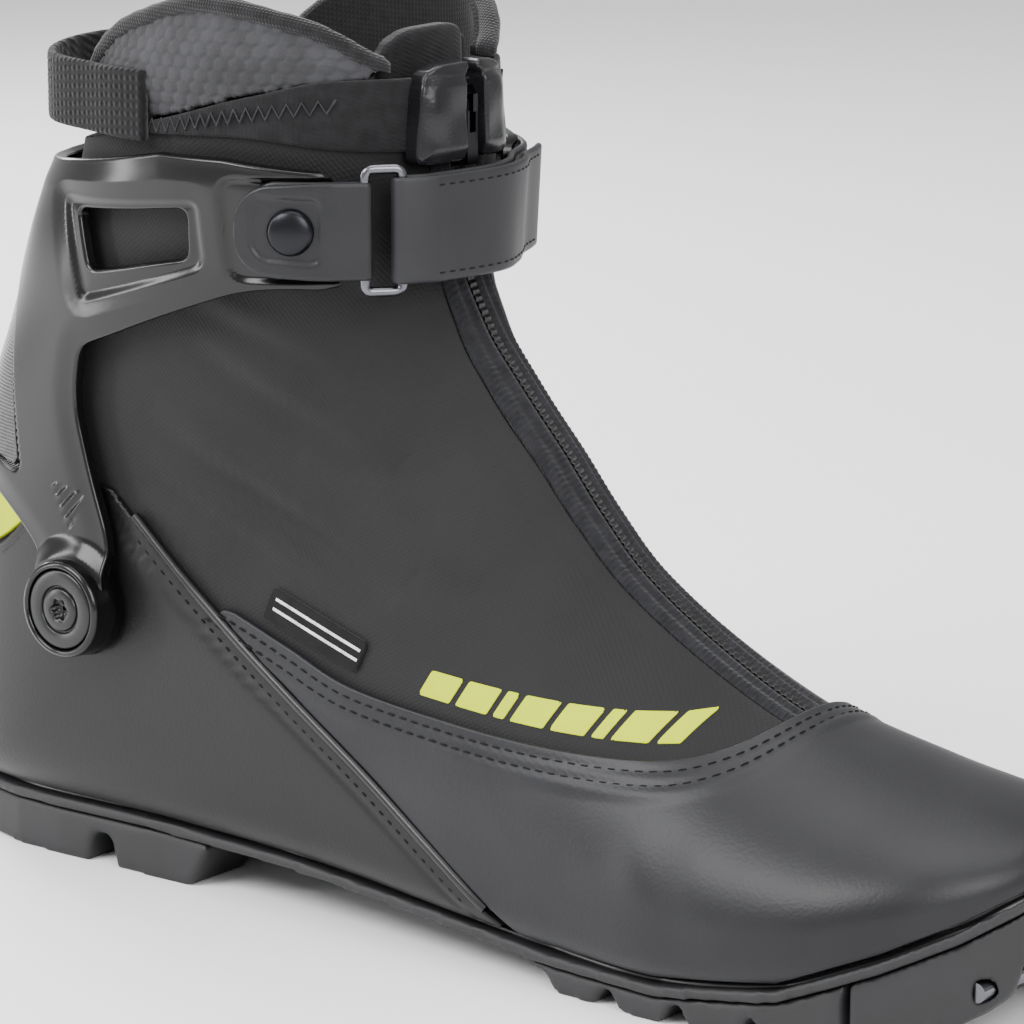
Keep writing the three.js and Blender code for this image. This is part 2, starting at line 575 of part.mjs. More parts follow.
// The lace runs in one zigzag up the throat, from edge to edge.
const LACE_TURNS = 7;
const laceDepth = LINER[1] - LACE_RADIUS - GAP;
const laceReach = THROAT - 2 * GAP - LACE_RADIUS;
function ridgeAngle(s, y) {
  let low = -Math.PI / 2;
  let high = Math.PI / 2;
  for (let k = 0; k < 30; k++) {
    const mid = (low + high) / 2;
    if (upperPoint(s, mid, laceDepth).y < y) low = mid;
    else high = mid;
  }
  return low;
}

function ridgePoint(x, y) {
  let low = 2;
  let high = 12;
  for (let k = 0; k < 30; k++) {
    const mid = (low + high) / 2;
    if (upperPoint(mid, ridgeAngle(mid, y), laceDepth).x > x) low = mid;
    else high = mid;
  }
  return upperPoint(low, ridgeAngle(low, y), laceDepth);
}
const lacePoints = [];
for (let i = 0; i <= LACE_TURNS; i++) {
  const x = throatEnd - 6 - ((throatEnd - throatStart - 16) * i) / LACE_TURNS;
  const y = i % 2 ? laceReach : -laceReach;
  lacePoints.push(ridgePoint(x + 1.5, y));
  lacePoints.push(ridgePoint(x - 1.5, y));
  if (i < LACE_TURNS) {
    const next = throatEnd - 6 - ((throatEnd - throatStart - 16) * (i + 1)) / LACE_TURNS;
    lacePoints.push(ridgePoint((x + next) / 2, 0));
  }
}

function tube(points, radius, sides, steps) {
  const section = new THREE.Shape();
  section.absarc(0, 0, radius, 0, Math.PI * 2, false);
  const path = new THREE.CatmullRomCurve3(points);
  return new THREE.ExtrudeGeometry(section, { steps, extrudePath: path, bevelEnabled: false,
    curveSegments: sides });
}
addMesh('laces', solidOf(tube(lacePoints, LACE_RADIUS, 3, 44)), 0x303033, 0.8);

// ---------------------------------------------------------------- seams that stand proud
function seamPoint(x, z, side, offset) {
  const step = 0.4;
  const at = (px, pz) => new THREE.Vector3(px, side * halfWidth(px, pz, side), pz);
  const across = at(x + step, z).sub(at(x - step, z));
  const up = at(x, z + step).sub(at(x, z - step));
  const normal = across.cross(up).normalize();
  if (normal.y * side < 0) normal.negate();
  return at(x, z).addScaledVector(normal, offset);
}

for (const [side, sign] of SIDES) {
  const line = DIAGONAL.slice(1, 11).map(([x, z]) => seamPoint(x, z, sign, OVER[0] + PIPING_RADIUS));
  addMesh(`diagonal_piping_${side}`, solidOf(tube(line, PIPING_RADIUS * 0.8, 4, 12)), 0x3a3a3d, 0.3);
}

// ---------------------------------------------------------------- collar
const COLLAR_LOW = scaled([[-150, 176], [-100, 177], [-66, 180], [-40, 181], [-20, 178], [20, 174]]);
const COLLAR_HIGH = scaled([[-150, 183], [-115, 182], [-90, 179], [-66, 183], [-39, 190.5], [-20, 194], [20, 190]]);
const bandRegion = sideSolid(outline([...curvePoints(COLLAR_LOW, 12), ...curvePoints(COLLAR_HIGH, 14).reverse()]));
const zipSlotWide = ridgeStrip(ZIP_TAPE + 2);
addMesh('collar_band', overLayer.intersect(bandRegion).subtract(zipSlotWide), 0x333335, 0.9);

const LOBE = scaled([[-99, 178], [-92, 190, 6], [-80, 202, 10], [-52, 212, 16], [-26, 205, 12],
  [-17, 196, 5], [-20, 193.8], [-39, 190.8], [-66, 183.3], [-90, 179.3]]);
const lobeLayer = layer([LINER[0], OVER[1] - GAP]);
const aboveLiner = sideSolid(outline([...shifted(curvePoints(COLLAR_LINE, 12), 0, GAP), [20, 400], [-140, 400]]));
const lobeRegion = sideSolid(outline([...LOBE.slice(0, 8), ...LOBE.slice(8)])).intersect(aboveLiner)
  .subtract(sideSolid(outline([...shifted(curvePoints(COLLAR_HIGH, 14), 0, GAP), [20, -60], [-150, -60]])));
for (const [side, , half] of SIDES) {
  addMesh(`collar_pad_${side}`, lobeLayer.intersect(lobeRegion).intersect(half), ...PADDING);
}

// ---------------------------------------------------------------- cuff
const CUFF = [CUFF_STANDOFF, CUFF_STANDOFF + CUFF_WALL];
const CUFF_OUTLINE = scaled([[-170, 166], [-108, 167.5], [-86, 172], [-60, 177], [-44, 177], [-24, 174.4, 4], [-23.5, 148, 5],
  [-41, 148.5, 8], [-62, 140, 6], [-88, 129, 4], [-91, 116, 10], [-86.5, 98, 10], [-81.5, 84], [-80.5, 66, 6],
  [-92, 60], [-101, 68], [-104, 79, 4], [-112, 86, 6], [-128, 95, 8], [-150, 99], [-170, 99]]);
const WINDOW = scaled([[-86, 160.8, 2.5], [-53.5, 165, 2.5], [-54.5, 153.8, 3], [-83.5, 147.5, 2.5]]);
const WINDOW_RECESS = scaled([[-91, 163.5, 4], [-49.5, 168.5, 4], [-49.5, 152, 4], [-60, 148, 6], [-87, 139, 4]]);
const TAB_RECESS = scaled([[-46, 174, 5], [0, 173.6], [0, 149.5], [-46, 149.5, 5]]);
const SPINE = scaled([[-170, 158, 3], [-113.5, 156, 4], [-111.5, 120, 8], [-108, 95, 3], [-124, 99, 6],
  [-146, 104], [-170, 104]]);

const outside = bootSolid(CUFF[1] + 2).subtract(bootSolid(CUFF[1] - RECESS_DEPTH));
const spineSeat = sideSolid(outline(SPINE));
const spineInset = sideSolid(outline(scaled([[-170, 157.4, 3], [-114.1, 155.4, 4], [-112.1, 120, 8],
  [-109.4, 96.5, 2.5], [-124, 99.7, 6], [-146, 104.6], [-170, 104.6]])));

function boss(sign) {
  return crossCylinder(BOSS_RADIUS, ...PIVOT, sign * BOSS_SEAT, sign * BOSS_FACE, 36);
}

function bossBore(sign) {
  const bore = crossCylinder(BOLT_RADIUS + GAP, ...PIVOT, sign * 20, sign * 60, 24);
  const seat = crossCylinder(CAP_RADIUS + GAP, ...PIVOT, sign * (BOSS_FACE - CAP_DEPTH - GAP), sign * 60, 36);
  return bore.add(seat);
}

const RIVET_PLACE = [-31.5 * KX, STRAP_LEVEL];
function rivetFrame(side) {
  const on = seamPoint(...RIVET_PLACE, side, 0);
  const out = seamPoint(...RIVET_PLACE, side, 1).sub(on).setZ(0).normalize();
  return { on, out };
}

function along({ on, out }, geometry, from) {
  const turn = new THREE.Quaternion().setFromUnitVectors(new THREE.Vector3(0, 1, 0), out);
  const place = on.clone().addScaledVector(out, from);
  return solidOf(geometry.applyQuaternion(turn).translate(place.x, place.y, place.z));
}

function rivetHole(side, radius) {
  return along(rivetFrame(side), new THREE.CylinderGeometry(radius, radius, 30, 20), CUFF[1]);
}

let cuff = layer(CUFF).intersect(sideSolid(outline(CUFF_OUTLINE)));
cuff = cuff.subtract(sideSolid(outline(WINDOW)));
cuff = cuff.subtract(outside.intersect(sideSolid(outline(WINDOW_RECESS))));
cuff = cuff.subtract(outside.intersect(sideSolid(outline(TAB_RECESS))));
cuff = cuff.subtract(outside.intersect(spineSeat));
for (const [, sign] of SIDES) {
  cuff = cuff.add(boss(sign));
}
for (const [, sign] of SIDES) {
  cuff = cuff.subtract(bossBore(sign)).subtract(rivetHole(sign, RIVET_SHANK + GAP));
}
addMesh('cuff_shell', cuff.subtract(bootSolid(CUFF_STANDOFF - 1)), ...PLASTIC);
addMesh('spine_insert', layer([CUFF[1] - RECESS_DEPTH + GAP, CUFF[1]]).intersect(spineInset), 0x2a2a2c, 0.35);
for (const [side, sign] of SIDES) {
  const tip = sign * (halfWidth(...PIVOT, sign) + LINER[1] + GAP);
  const face = sign * BOSS_FACE;
  const flange = crossCylinder(CAP_RADIUS, ...PIVOT, face - sign * CAP_DEPTH, face - sign * GAP, 32);
  const shank = crossCylinder(BOLT_RADIUS, ...PIVOT, tip, face - sign * CAP_DEPTH / 2, 20);
  const socket = crossCylinder(SOCKET_RADIUS, ...PIVOT, face - sign * SOCKET_DEPTH, face + sign, 6);
  const ring = crossCylinder(CAP_RADIUS * 0.55, ...PIVOT, face - sign * CAP_RING_DEPTH, face + sign, 24);
  addMesh(`pivot_bolt_${side}`, flange.add(shank).subtract(ring).subtract(socket), 0x2a2a2c, 0.35);
}

// ---------------------------------------------------------------- ankle strap
// Plan of the shaft at one level, pushed outwards by offset.
function shaftPlan(x, side, offset, level = STRAP_LEVEL) {
  const p = seamPoint(x, level, side, offset);
  return new THREE.Vector2(p.x, p.y);
}

// A plan line moved sideways, to its left where the distance is positive.
function besideLine(line, distance) {
  return line.map((p, i) => {
    const before = line[Math.max(i - 1, 0)];
    const after = line[Math.min(i + 1, line.length - 1)];
    const t = after.clone().sub(before).normalize();
    return new THREE.Vector2(p.x - t.y * distance, p.y + t.x * distance);
  });
}

// An upright ribbon whose plan runs along the line.
function ribbon(line, low, high, zLow, zHigh) {
  const shape = new THREE.Shape([...besideLine(line, high), ...besideLine(line, low).reverse()]);
  return planSolid(shape, zLow, zHigh);
}

// Half a turn round an upright: it starts and ends beside the centre, bulging towards the heading.
function turnRound(centre, heading, radius, spin) {
  const line = [];
  for (let k = -4; k <= 4; k++) {
    const a = Math.atan2(heading.y, heading.x) + (spin * k * Math.PI) / 8;
    line.push(new THREE.Vector2(centre.x + radius * Math.cos(a), centre.y + radius * Math.sin(a)));
  }
  return line;
}

const SHAFT_LEAN = 0.9 / KZ;       // the cuff widens upwards by this over half the strap's height
const STRAP_LOW = STRAP_LEVEL - STRAP_HEIGHT / 2;
const STRAP_HIGH = STRAP_LEVEL + STRAP_HEIGHT / 2;
const STRAP_STAND = CUFF[1] + GAP + SHAFT_LEAN + STRAP_THICKNESS / 2;
const STRAP_PITCH = STRAP_THICKNESS + STRAP_GAP;
const TAB_PITCH = TAB_THICKNESS + GAP;
const TAB_STAND = CUFF[1] - RECESS_DEPTH + GAP + SHAFT_LEAN + TAB_THICKNESS / 2;

// The two uprights of the wire ring: one in the fold of the tab, one in the loop of the strap.
const tabUpright = shaftPlan(-21 * KX, -1, TAB_STAND + TAB_PITCH / 2);
const forwards = shaftPlan(-20 * KX, -1, TAB_STAND + TAB_PITCH / 2).sub(tabUpright).normalize();
const outwards = new THREE.Vector2(forwards.y, -forwards.x);
const strapUpright = tabUpright.clone().addScaledVector(forwards, RING_ARM);

const strapFront = new THREE.Vector2(-4.4 * KX, 0);
const strapMeets = strapUpright.clone().addScaledVector(forwards, 4.5)
  .addScaledVector(outwards, -STRAP_PITCH / 2);
const underLine = new THREE.SplineCurve([
  shaftPlan(RIVET_PLACE[0] - 8, 1, STRAP_STAND), shaftPlan(RIVET_PLACE[0], 1, STRAP_STAND),
  shaftPlan(-22 * KX, 1, STRAP_STAND - 0.4), shaftPlan(-15 * KX, 1, STRAP_STAND - 1.4), strapFront,
  strapMeets]).getSpacedPoints(26);
const strapTurn = turnRound(strapUpright, forwards.clone().negate(), WIRE_RADIUS + RING_PLAY + STRAP_THICKNESS / 2, 1);
const overLine = besideLine(underLine, STRAP_PITCH).reverse();
const strapLine = [...underLine.slice(0, -1), ...strapTurn, ...overLine.slice(1, 19)];
addMesh('ankle_strap', ribbon(strapLine, -STRAP_THICKNESS / 2, STRAP_THICKNESS / 2, STRAP_LOW, STRAP_HIGH)
  .subtract(rivetHole(1, RIVET_SHANK + GAP)), ...STRAP);
const padInner = STRAP_THICKNESS / 2 + GAP;
addMesh('hook_pad', ribbon(underLine.slice(9, 21), padInner, padInner + STRAP_GAP - 2 * GAP,
  STRAP_LOW + 1, STRAP_HIGH - 1), 0x252527, 1);

// The tab runs under itself, round the rear upright of the ring and back over itself.
const tabLine = [];
for (let x = -38; x <= -25; x += 2.6) tabLine.push(shaftPlan(x * KX, -1, TAB_STAND));
tabLine.push(...turnRound(tabUpright, forwards, WIRE_RADIUS + GAP + TAB_THICKNESS / 2, -1));
for (let x = -25; x >= -42; x -= 2.6) tabLine.push(shaftPlan(x * KX, -1, TAB_STAND + TAB_PITCH));
const TAB_SIDE = outline(scaled([[-42, 0, 9], [20, 0], [20, 1], [-42, 1, 9]]).map(([x, top, radius]) =>
  [x, STRAP_LEVEL + (top - 0.5) * TAB_HEIGHT, radius]));
addMesh('strap_tab', ribbon(tabLine, -TAB_THICKNESS / 2, TAB_THICKNESS / 2, STRAP_LOW, STRAP_HIGH)
  .intersect(sideSolid(TAB_SIDE)).subtract(rivetHole(-1, RIVET_SHANK + GAP)), 0x4b4a4f, 0.45);

// ---------------------------------------------------------------- wire ring of the strap
function bar(from, to, radius) {
  const length = from.distanceTo(to);
  const geometry = new THREE.CylinderGeometry(radius, radius, length, 8);
  const turn = new THREE.Quaternion()
    .setFromUnitVectors(new THREE.Vector3(0, 1, 0), to.clone().sub(from).normalize());
  const middle = from.clone().add(to).multiplyScalar(0.5);
  return solidOf(geometry.applyQuaternion(turn).translate(middle.x, middle.y, middle.z));
}

const ringReach = STRAP_HEIGHT / 2 + WIRE_RADIUS + 2 * GAP;
const ringCorners = [[tabUpright, -1], [strapUpright, -1], [strapUpright, 1], [tabUpright, 1]]
  .map(([p, end]) => new THREE.Vector3(p.x, p.y, STRAP_LEVEL + end * ringReach));
let wireRing = null;
ringCorners.forEach((corner, i) => {
  const ball = solidOf(new THREE.SphereGeometry(WIRE_RADIUS, 8, 6).translate(...corner.toArray()));
  const side = bar(corner, ringCorners[(i + 1) % 4], WIRE_RADIUS).add(ball);
  wireRing = wireRing ? wireRing.add(side) : side;
});
addMesh('strap_ring', wireRing, ...STEEL);

// ---------------------------------------------------------------- rivets of the tab and the strap
function rivet(under) {
  const washerOut = CUFF[0] - 2 * GAP - SHAFT_LEAN;
  const profile = [[0, washerOut - 1], [RIVET_HEAD * 0.6, washerOut - 1], [RIVET_HEAD * 0.6, washerOut],
    [RIVET_SHANK, washerOut], [RIVET_SHANK, under], [RIVET_HEAD, under]];
  for (let k = 0; k <= 4; k++) {
    const a = (k / 4) * (Math.PI / 2);
    profile.push([RIVET_HEAD * Math.cos(a), under + 0.5 + (RIVET_DOME - 0.5) * Math.sin(a)]);
  }
  return new THREE.LatheGeometry(profile.map(([r, y]) => new THREE.Vector2(Math.max(r, 1e-6), y)), 16);
}

const tabFace = TAB_STAND + TAB_PITCH + TAB_THICKNESS / 2 + GAP;
addMesh('tab_rivet', along(rivetFrame(-1), rivet(tabFace), 0), 0x8c8c90, 0.3, 1);
const strapFace = STRAP_STAND + STRAP_THICKNESS / 2 + GAP;
addMesh('strap_rivet', along(rivetFrame(1), rivet(strapFace), 0), 0x8c8c90, 0.3, 1);

// ---------------------------------------------------------------- pull loop behind the collar
const LOOP_LOW = 178.5 * KZ;
const loopLevel = LOOP_LOW + LOOP_WIDTH / 2;
const loopStand = OVER[1] + GAP + LOOP_THICKNESS / 2;
const anchors = [-66, -75, -84];
const loopSide = anchors.map((x) => shaftPlan(x * KX, -1, loopStand, loopLevel));
const loopPath = new THREE.SplineCurve([
  ...loopSide, new THREE.Vector2(-103 * KX, -34 * KY), new THREE.Vector2((LOOP_BACK + 5) * KX, -19 * KY),
  new THREE.Vector2(LOOP_BACK * KX, 0), new THREE.Vector2((LOOP_BACK + 5) * KX, 19 * KY),
  new THREE.Vector2(-103 * KX, 34 * KY), ...[...anchors].reverse().map(
    (x) => shaftPlan(x * KX, 1, loopStand, loopLevel))]);
addMesh('pull_loop', ribbon(loopPath.getSpacedPoints(28), -LOOP_THICKNESS / 2, LOOP_THICKNESS / 2,
  LOOP_LOW, LOOP_LOW + LOOP_WIDTH), ...WEBBING);

// ---------------------------------------------------------------- featherline and woven label
addMesh('featherline', layer([OVER[0], OVER[1] + 0.7])
  .intersect(soleBand(-BEAD_RADIUS, BEAD_RADIUS)), 0x2b2b2d, 0.35);
const LABEL = scaled([[-40, 70.5, 1], [-12.5, 62, 1], [-10, 69, 1], [-37.5, 78, 1]]);
addMesh('woven_label', layer([GAP, GAP + 0.7]).intersect(sideSolid(outline(LABEL), -WIDE, 0)), 0x1c1c1e, 0.9);

// ---------------------------------------------------------------- zip slider, its pull and garage
const frontRidge = (z) => {
  const i = SLICES.findIndex((row) => row[1] > z);
  const [a, b] = [SLICES[i - 1], SLICES[i]];
  return a[0] + ((b[0] - a[0]) * (z - a[1])) / (b[1] - a[1]);
};
const sliderBase = frontRidge((SLIDER_TOP - SLIDER_LENGTH / 2) * KZ);
const sliderTop = SLIDER_TOP * KZ;
const sliderSide = outline([[SLIDER[0], -SLIDER_LENGTH], [SLIDER[1] - 1, -SLIDER_LENGTH],
  [SLIDER[1], 2 - SLIDER_LENGTH], [SLIDER[1], -2], [SLIDER[1] - 1, 0], [SLIDER[0], 0]]
  .map(([x, z]) => [sliderBase + x, sliderTop + z]));
const PIN = [sliderBase + SLIDER[1] + 1, sliderTop - 3.6];
const crown = boxSolid([sliderBase + 3, -0.8, PIN[1] - 2], [PIN[0] + 1.4, 0.8, PIN[1] + 2])
  .subtract(crossCylinder(0.9, ...PIN, -3, 3, 12));
addMesh('zip_slider', sideSolid(sliderSide, -SLIDER_WIDTH / 2, SLIDER_WIDTH / 2).add(crown),
  0x55555a, 0.35, 0.9);
const arm = (y) => boxSolid([PIN[0] - 0.6, y - 0.4, PIN[1] - 7.5], [PIN[0] + 0.6, y + 0.4, PIN[1] + 0.6]);
const plateTop = PIN[1] - 6.8;
const plate = boxSolid([PIN[0] - 0.6, -PULL_WIDTH / 2 - 0.4, PIN[1] - PULL_LENGTH],
  [PIN[0] + 0.6, PULL_WIDTH / 2 + 0.4, plateTop]);
addMesh('zip_pull', plate.add(arm(-PULL_WIDTH / 2)).add(arm(PULL_WIDTH / 2))
  .add(crossCylinder(0.6, ...PIN, -PULL_WIDTH / 2, PULL_WIDTH / 2, 10)), 0x55555a, 0.35, 0.9);

const FLAP_HEM = 10.6;
const flapFront = outline([[-16, 174.3, 2], [12.5, 174.3, 2], [11.5, 197, 6], [-14, 197, 6]]
  .map(([y, z, radius]) => [y, z * KZ, radius]));
const flapOver = frontSolid(flapFront, -60, 60);
const hems = boxSolid([-60, -60, 0], [60, -FLAP_HEM, 400]).add(boxSolid([-60, FLAP_HEM, 0], [60, 60, 400]));
const slot = boxSolid([-60, -PULL_WIDTH / 2 - 1.4, 100], [60, PULL_WIDTH / 2 + 1.4, (SLIDER_TOP + 1) * KZ]);
addMesh('zip_garage', layer(FLAP).add(layer([OVER[1] + GAP, FLAP[1]]).intersect(hems))
  .intersect(flapOver).subtract(slot), 0x39393c, 0.3);

export default boot;
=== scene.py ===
# %% [markdown]
# # A cross-country ski boot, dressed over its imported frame
# The CAD model gives the size, the bodies and the joints. Here each soft or glossy piece of the real boot
# gets its own fine mesh and its own material. Everything lies on one surface, the last of the boot, so the
# first cells rebuild that surface and every panel is then cut out of it, as a shoemaker cuts leather.

# %% Load the frame
import json
import math

import bpy
import numpy as np
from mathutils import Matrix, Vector


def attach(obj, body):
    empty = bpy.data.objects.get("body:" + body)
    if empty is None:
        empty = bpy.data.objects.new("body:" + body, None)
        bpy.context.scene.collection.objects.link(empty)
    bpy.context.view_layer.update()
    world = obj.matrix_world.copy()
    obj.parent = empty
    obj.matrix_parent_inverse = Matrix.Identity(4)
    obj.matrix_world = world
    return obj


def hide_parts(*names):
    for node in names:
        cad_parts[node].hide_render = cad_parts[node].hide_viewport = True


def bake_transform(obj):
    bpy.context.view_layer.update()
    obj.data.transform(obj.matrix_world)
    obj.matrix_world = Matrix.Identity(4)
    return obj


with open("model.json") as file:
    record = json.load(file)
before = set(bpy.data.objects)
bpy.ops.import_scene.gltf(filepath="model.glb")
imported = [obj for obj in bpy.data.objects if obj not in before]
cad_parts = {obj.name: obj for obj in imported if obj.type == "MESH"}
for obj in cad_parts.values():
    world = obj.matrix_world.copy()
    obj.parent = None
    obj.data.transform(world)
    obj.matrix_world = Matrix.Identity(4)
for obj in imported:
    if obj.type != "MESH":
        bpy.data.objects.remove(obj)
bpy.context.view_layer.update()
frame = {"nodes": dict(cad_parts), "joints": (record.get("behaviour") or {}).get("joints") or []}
joints = {joint["name"]: joint for joint in frame["joints"]}

# %% [markdown]
# ## The last
# A shoe is built on a last, a solid the shape of the foot. Ours is a row of slices from the toe over the
# instep to the collar. Each slice is a squared oval between a ridge line and the line opposite, and a smooth
# spline runs from slice to slice. Two numbers then name every place on the boot: s along it, angle round it.

# %% Slices of the last, in millimetres
# ridge x, z; opposite edge x, z; outer and inner half width; widest place; squareness; sideways shift
SLICES = np.array([
    [154, 38.5, 154, 38.5, 0, 0, 0.50, 2.0, 2.5, 6],
    [151.5, 44, 151, 34, 17, 14, 0.60, 1.9, 3.0, 5],
    [144, 46.5, 143, 28.5, 30, 24, 0.62, 1.9, 3.6, 4],
    [131, 50, 129, 21.5, 40, 32, 0.66, 1.9, 4.2, 3],
    [112, 54, 107, 12.5, 46.5, 37.5, 0.68, 1.85, 4.6, 2],
    [86, 61, 76, 8, 47.5, 39, 0.70, 1.8, 5.0, 1],
    [62, 72.5, 44, 8, 44, 36, 0.70, 1.8, 5.0, 0.5],
    [42, 85.5, 8, 10.5, 41, 34, 0.68, 1.8, 5.0, 0],
    [29.5, 98, -34, 13, 38.5, 34, 0.64, 1.85, 4.8, 0],
    [19.5, 110, -80, 14, 37.5, 35, 0.60, 1.9, 4.4, 0],
    [11, 119.5, -128, 14, 37, 36, 0.58, 1.95, 4.2, 0],
    [4.5, 127, -147.5, 20, 37, 36.5, 0.56, 2.0, 3.3, 0],
    [-1, 133.5, -149.5, 46, 36.5, 36.5, 0.55, 2.05, 2.7, 0],
    [-5, 140, -145.5, 74, 36.5, 36.5, 0.54, 2.1, 2.6, 0],
    [-8.5, 146.5, -137.5, 101, 37, 37, 0.53, 2.15, 2.5, 0],
    [-11, 154, -127, 126, 38.5, 38.5, 0.52, 2.2, 2.4, 0],
    [-12.5, 164, -118.5, 149, 40.5, 40.5, 0.50, 2.25, 2.35, 0],
    [-13.5, 178, -109.5, 171, 41.5, 41.5, 0.50, 2.3, 2.3, 0],
    [-14, 194, -107.5, 192, 41.5, 41.5, 0.50, 2.3, 2.3, 0],
    [-14.5, 212, -109, 213, 41, 41, 0.50, 2.3, 2.3, 0],
    [-15, 230, -111, 230, 40, 40, 0.50, 2.3, 2.3, 0],
], float)
LAST = len(SLICES) - 1
PIVOT = np.array([-91.5, 67.0])
MM = 0.001
SHIFT_X = joints["cuff_hinge"]["pos_m"][0] - PIVOT[0] * MM
print("the last sits", round(SHIFT_X / MM, 2), "mm along x from the frame's origin")


# %% Points and normals of the last
def slices_at(s):
    i = np.clip(np.floor(s).astype(int), 0, LAST - 1)
    a, b, c, d = (SLICES[np.clip(i + k, 0, LAST)] for k in (-1, 0, 1, 2))
    t = (s - i)[:, None]
    return 0.5 * (2 * b + (c - a) * t + (2 * a - 5 * b + 4 * c - d) * t**2
                  + (3 * b - a - 3 * c + d) * t**3)


def last_point(s, angle):
    nx, nz, fx, fz, outer, inner, peak, near, far, shift = slices_at(s).T
    c = -np.cos(angle)
    q = np.sin(angle)
    square = np.where(c < 0, near, far)
    r = (np.abs(c)**square + np.abs(q)**square)**(-1 / square)
    v = peak + r * c * np.where(c < 0, peak, 1 - peak)
    y = shift + r * q * np.where(q < 0, outer, inner)
    return np.stack([nx + (fx - nx) * v, y, nz + (fz - nz) * v], 1)


def unit(v):
    return v / np.maximum(np.linalg.norm(v, axis=-1, keepdims=True), 1e-9)


def last_normal(s, angle):
    step = 0.02
    t = np.clip(s, 2 * step, LAST - step)
    along = last_point(t + step, angle) - last_point(t - step, angle)
    around = last_point(t, angle + step) - last_point(t, angle - step)
    normal = unit(np.cross(around, along))
    normal[s < step] = unit(np.array([1.0, 0.0, 0.1]))
    return normal


def on_last(s, angle, height):
    return last_point(s, angle) + last_normal(s, angle) * np.asarray(height)[..., None]


# %% [markdown]
# ## From the side view to the last
# Seam lines are easiest to draw in the side view, as x and z. This cell finds the place on the last behind
# such a point: first which slice it lies on, by halving, then how far round that slice.

# %% Side view to surface
def find_slice(x, z):
    low = np.full(len(x), 0.02)
    high = np.full(len(x), float(LAST))
    for _ in range(32):
        mid = (low + high) / 2
        nx, nz, fx, fz = slices_at(mid).T[:4]
        turn = (fx - nx) * (z - nz) - (fz - nz) * (x - nx)
        low = np.where(turn < 0, mid, low)
        high = np.where(turn < 0, high, mid)
    return low


def side_to_last(points, side):
    """s and angle of side-view points; side is -1 for the outer side of the foot, 1 for the inner."""
    x, z = np.asarray(points, float).T
    s = find_slice(x, z)
    nx, nz, fx, fz, _, _, peak, near, far, _ = slices_at(s).T
    v = ((x - nx) * (fx - nx) + (z - nz) * (fz - nz)) / ((fx - nx)**2 + (fz - nz)**2)
    c = np.where(v < peak, (v - peak) / peak, (v - peak) / (1 - peak))
    square = np.where(c < 0, near, far)
    c = np.clip(c, -1, 1)
    q = (1 - np.abs(c)**square)**(1 / square)
    return s, side * np.arctan2(q, -c)


def side_point(points, side, height):
    s, angle = side_to_last(points, side)
    return on_last(s, angle, np.broadcast_to(height, s.shape)), last_normal(s, angle)


def smooth_line(points, count):
    """A Catmull-Rom line through the points, evenly spaced."""
    p = np.asarray(points, float)
    p = np.vstack([2 * p[0] - p[1], p, 2 * p[-1] - p[-2]])
    fine = []
    for i in range(1, len(p) - 2):
        t = np.linspace(0, 1, 24, endpoint=False)[:, None]
        a, b, c, d = p[i - 1:i + 3]
        fine.append(0.5 * (2 * b + (c - a) * t + (2 * a - 5 * b + 4 * c - d) * t**2
                           + (3 * b - a - 3 * c + d) * t**3))
    fine = np.vstack(fine + [p[-2:-1]])
    far = np.r_[0, np.cumsum(np.linalg.norm(np.diff(fine, axis=0), axis=1))]
    at = np.linspace(0, far[-1], count)
    return np.stack([np.interp(at, far, fine[:, k]) for k in range(p.shape[1])], 1)


# %% [markdown]
# ## Outlines as distance fields
# A pattern piece is an outline in the side view. For cutting, what matters is how far inside the outline a
# point lies, because then one number gives the cut edge, a rounded rim, a stitching groove or a recess.

# %% Signed distance to outlines and lines
def rounded(corners):
    """A closed outline through corners (x, z, radius)."""
    out = []
    count = len(corners)
    for i, corner in enumerate(corners):
        p = np.array(corner[:2], float)
        radius = corner[2] if len(corner) > 2 else 0
        before = np.array(corners[i - 1][:2], float) - p
        after = np.array(corners[(i + 1) % count][:2], float) - p
        cut = min(radius, np.linalg.norm(before) / 2, np.linalg.norm(after) / 2)
        if cut <= 0:
            out.append(p)
            continue
        start = p + unit(before) * cut
        end = p + unit(after) * cut
        for t in np.linspace(0, 1, 7):
            out.append((1 - t)**2 * start + 2 * t * (1 - t) * p + t**2 * end)
    return np.array(out)


def line_distance(points, line, closed=False):
    best = np.full(len(points), 1e9)
    ends = np.vstack([line, line[:1]]) if closed else line
    for a, b in zip(ends[:-1], ends[1:]):
        run = b - a
        length = max(run @ run, 1e-12)
        t = np.clip(((points - a) @ run) / length, 0, 1)
        best = np.minimum(best, np.linalg.norm(points - a - t[:, None] * run, axis=1))
    return best


def inside(points, outline):
    """Distance to a closed outline, positive inside it."""
    x, z = points.T
    crossings = np.zeros(len(points), bool)
    for a, b in zip(outline, np.roll(outline, -1, axis=0)):
        over = (a[1] > z) != (b[1] > z)
        with np.errstate(divide="ignore", invalid="ignore"):
            at = (b[0] - a[0]) * (z - a[1]) / (b[1] - a[1]) + a[0]
        crossings ^= over & (x < at)
    return np.where(crossings, 1, -1) * line_distance(points, outline, closed=True)


def ease(value, low, high):
    t = np.clip((value - low) / (high - low), 0, 1)
    return t * t * (3 - 2 * t)


# %% [markdown]
# ## Cutting a panel
# The panel starts as a fine grid on the last. Every triangle that the outline crosses is cut along it, so the
# edge is as clean as a knife cut. A rim of a few rings then rolls the edge over, because real leather, plastic
# and cloth never end in a sharp corner, and the roll is what catches the light.

